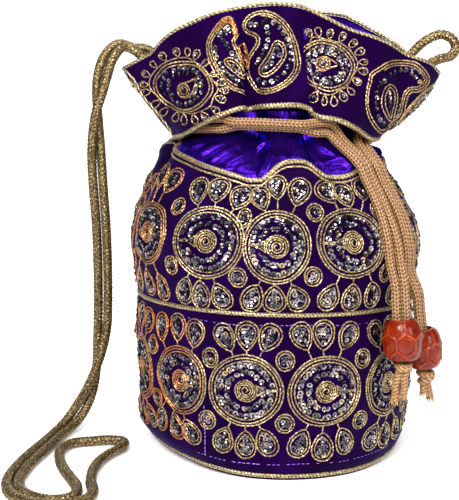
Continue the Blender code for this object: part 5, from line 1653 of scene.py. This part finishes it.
frayed = fibres("frayed_fibres", strands)

# ================================================================ gold loops
STRAP_HALF = STRAP_D / 2 + 0.15


def strap_points():
    pair = [
        (-84.8, 1.4, 209.2, 40), (-90.6, 0.2, 203.0, 15), (-93.6, -1.0, 193.6, 10), (-95.4, -1.0, 184.0, 45),
        (-96.6, -1.0, 174.0, 88), (-97.0, -1.0, 159.3, 130), (-96.6, -1.0, 146.0, 160), (-95.6, -1.0, 131.0, 178),
        (-94.4, -1.0, 116.5, 182), (-93.4, -1.0, 95.0, 180), (-93.2, -0.5, 72.6, 180), (-93.6, 0.0, 58.7, 190),
        (-94.8, 0.0, 47.5, 222), (-97.4, 0.0, 33.4, 268), (-100.6, -0.2, 22.4, 305), (-104.6, -1.4, 13.4, 335),
        (-108.8, -5.0, 6.8, 352), (-112.0, -12.0, 3.6, 358),
    ]
    flat = [
        (-113.8, -20.0), (-114.9, -31.0), (-116.8, -45.4), (-118.4, -60.3), (-119.0, -74.0), (-118.0, -88.0),
        (-113.6, -100.0), (-104.5, -108.6), (-94.5, -111.4),
    ]
    rest = STRAP_D / 2 + 0.3
    centres = [Vector(p[:3]) for p in pair] + [Vector((x, y, rest)) for x, y in flat]
    sides = []
    for i, c in enumerate(centres):
        before, after = centres[max(0, i - 1)], centres[min(len(centres) - 1, i + 1)]
        along = (after - before).normalized()
        if i < len(pair):
            across = (Vector((1, 0, 0)) - along * along.x).normalized()
            deep = along.cross(across).normalized()
            t = math.radians(pair[i][3])
            sides.append(across * math.cos(t) + deep * math.sin(t))
        else:
            sides.append(Vector((along.y, -along.x, 0)).normalized())
    flip = 1.0 if sides[len(pair) - 1].dot(sides[len(pair)]) > 0 else -1.0
    sides = [s if i < len(pair) else s * flip for i, s in enumerate(sides)]
    one = [c + s * STRAP_HALF for c, s in zip(centres, sides)]
    two = [c - s * STRAP_HALF for c, s in zip(centres, sides)]
    for line in (one, two):
        for p in line:
            p.z = max(p.z, rest)
    bight = [
        (-86.6, -104.0), (-87.4, -93.0), (-93.0, -81.5), (-98.6, -70.5), (-103.8, -57.0), (-106.2, -43.8), (-102.8, -33.4),
        (-94.4, -29.4), (-85.4, -26.4), (-77.4, -27.6), (-76.0, -36.0), (-80.4, -46.6), (-83.6, -57.5), (-84.4, -70.6),
        (-82.4, -86.0), (-79.0, -98.0), (-80.8, -108.0),
    ]
    bight = [Vector((x, y, rest)) for x, y in bight]
    if (one[-1] - bight[0]).length > (two[-1] - bight[0]).length:
        one, two = two, one
    inner = [Vector(p) for p in ((-66.8, 3.3, 188.6), (-65.2, 3.8, 196.0), (-65.6, 4.6, 202.8), (-70.0, 4.8, 207.6), (-77.4, 3.9, 208.6))]
    corner = [Vector(p) for p in ((-66.8, -3.3, 188.6), (-67.8, -3.4, 196.0), (-72.2, -3.2, 203.0), (-78.4, -2.8, 207.4))]
    if one[0].y > two[0].y:
        whole = inner + one + bight + two[::-1] + corner[::-1]
    else:
        whole = corner + one + bight + two[::-1] + inner[::-1]
    return [np.array(p) for p in whole]


LOOP = [
    (66.8, 3.4, 188.6), (65.4, 4.0, 196.0), (66.8, 5.0, 203.2), (71.2, 5.6, 209.8), (77.4, 5.4, 215.0), (84.0, 4.4, 217.4),
    (89.6, 2.8, 214.8), (91.2, 1.2, 209.8), (88.4, -0.4, 205.8), (83.4, -1.6, 204.4), (78.2, -2.6, 202.0), (72.6, -3.2, 196.2), (69.2, -3.4, 189.8),
]


def knit_relief(wales, course, height, seed):
    """Knitted stitches: in each column a chain of slanted loops, a little uneven."""
    g = np.random.default_rng(seed)
    start = g.uniform(0, 1, wales)
    drift = g.uniform(0, 2 * math.pi, 4)

    def at(ang, s):
        s = s + 0.35 * np.sin(s / 9.0 + drift[0]) + 0.2 * np.sin(s / 4.1 + drift[1])
        c = ang / (2 * math.pi) * wales + 0.06 * np.sin(s / 6.0 + drift[2])
        k = np.floor(c).astype(int) % wales
        f = c - np.floor(c)
        half = np.abs(f - 0.5) * 2
        w = 0.5 + 0.5 * np.sin(2 * math.pi * (s / course - half * 0.55 + start[k]))
        edge = np.sin(math.pi * np.clip(half, 0.0, 1.0)) ** 0.4 * 0.55 + 0.45
        v = w ** 0.75 * edge * (0.35 + 0.65 * np.sin(math.pi * f) ** 0.4)
        # the second value is painted shade: the colour is darkened between the stitches
        return height * (v - 0.5), np.clip(v * 1.5 - 0.1, 0, 1)
    return at


hand_line = smooth_line(strap_points(), 0.74)
hand_loop = textured_tube("knitted_hand_loop", hand_line, STRAP_D / 2 - 0.02, knit_relief(6, 2.1, 0.62, 3), M_KNIT, 24)
loop_line = smooth_line([np.array(p) for p in LOOP], 0.66)
small_loop = textured_tube("knitted_small_loop", loop_line, STRAP_D / 2 - 0.02, knit_relief(6, 2.1, 0.62, 4), M_KNIT, 24)
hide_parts("hand_loop")
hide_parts("small_loop")

# ================================================================ what stands for what
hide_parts("lower_band")
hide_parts("upper_band")
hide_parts("satin_neck")
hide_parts("collar")
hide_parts("collar_facing")
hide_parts("lining")
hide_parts("base_piping")
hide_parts("middle_piping")
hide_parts("neck_piping")
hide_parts("collar_lower_piping")
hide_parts("collar_rim_piping")
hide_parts("drawcord_lower")
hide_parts("drawcord_upper")
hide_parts("base_panel")
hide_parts("base_board")



def cut_of(loops):
    """The strip that a panel's face lies out to: the longest way round it and the mean way up it, in metres."""
    round_it = np.linalg.norm(np.roll(loops, -1, 1) - loops, axis=2).sum(1).max()
    up_it = np.linalg.norm(np.diff(loops, axis=0), axis=2).sum(0).mean()
    return round(float(round_it) * MM, 3), round(float(up_it) * MM, 3)


lower_cut, upper_cut = cut_of(rows_of(velvet, lower_rows, 0.0)), cut_of(rows_of(velvet, upper_rows, 0.0))
satin_cut, collar_cut = cut_of(rows_of(satin, satin_rows, 0.0)), cut_of(rows_of(collar, collar_rows, 0.0))
facing_cut = cut_of(rows_of(facing, facing_rows, 0.0))

# ================================================================ stage
bpy.ops.mesh.primitive_plane_add(size=1.0)
floor = bpy.context.object
floor.name = "floor"
import bmesh
bm = bmesh.new()
profile = [(-2.2, 0.0), (1.0, 0.0)]
for k in range(1, 13):
    t = math.pi / 2 * k / 12
    profile.append((1.0 + 0.5 * math.sin(t), 0.5 - 0.5 * math.cos(t)))
profile += [(1.5, 1.0)]
previous = None
for y, z in profile:
    row = [bm.verts.new((x, y, z)) for x in (-3.0, 3.0)]
    if previous:
        bm.faces.new((previous[0], previous[1], row[1], row[0]))
    previous = row
bm.to_mesh(floor.data)
bm.free()
floor.data.materials.clear()
floor.data.materials.append(floor_finish())
floor.data.shade_smooth()
floor.location = (0, 0, 0)

scene = bpy.context.scene
world = bpy.data.worlds.new("studio")
scene.world = world
world.use_nodes = True
background = world.node_tree.nodes["Background"]
background.inputs[0].default_value = (0.96, 0.97, 1.0, 1.0)
background.inputs[1].default_value = 0.14


def area(name, at, target, size, power, colour=(1, 1, 1)):
    light = bpy.data.lights.new(name, "AREA")
    light.shape = "RECTANGLE"
    light.size, light.size_y = size
    light.energy = power
    light.color = colour
    obj = bpy.data.objects.new(name, light)
    scene.collection.objects.link(obj)
    obj.location = at
    obj.rotation_euler = (Vector(target) - Vector(at)).to_track_quat("-Z", "Y").to_euler()
    return obj


area("key", (-0.34, -0.72, 0.62), (0.0, 0.0, 0.13), (0.24, 0.24), 7.0)
area("above_front", (-0.04, -0.64, 0.57), (0.01, -0.05, 0.15), (0.17, 0.50), 5.0)
area("fill", (0.62, -0.62, 0.34), (0.0, 0.0, 0.11), (0.30, 0.45), 3.6, (1.0, 0.98, 0.95))
area("top", (0.06, -0.02, 1.0), (0.0, 0.0, 0.1), (0.14, 0.42), 2.0)
area("backdrop", (0.0, 0.2, 1.3), (0.0, 1.5, 0.4), (1.6, 0.5), 22.0)

cam = bpy.data.cameras.new("camera")
camera = bpy.data.objects.new("camera", cam)
scene.collection.objects.link(camera)
scene.camera = camera
cam.sensor_width = 36.0
cam.lens = CAM_FOCAL / 500.0 * 36.0
cam.clip_start, cam.clip_end = 0.02, 20.0
at = turned.copy()
at.translation = Vector(CAM_AT * MM)
camera.matrix_world = at
scene.view_settings.view_transform = "Standard"
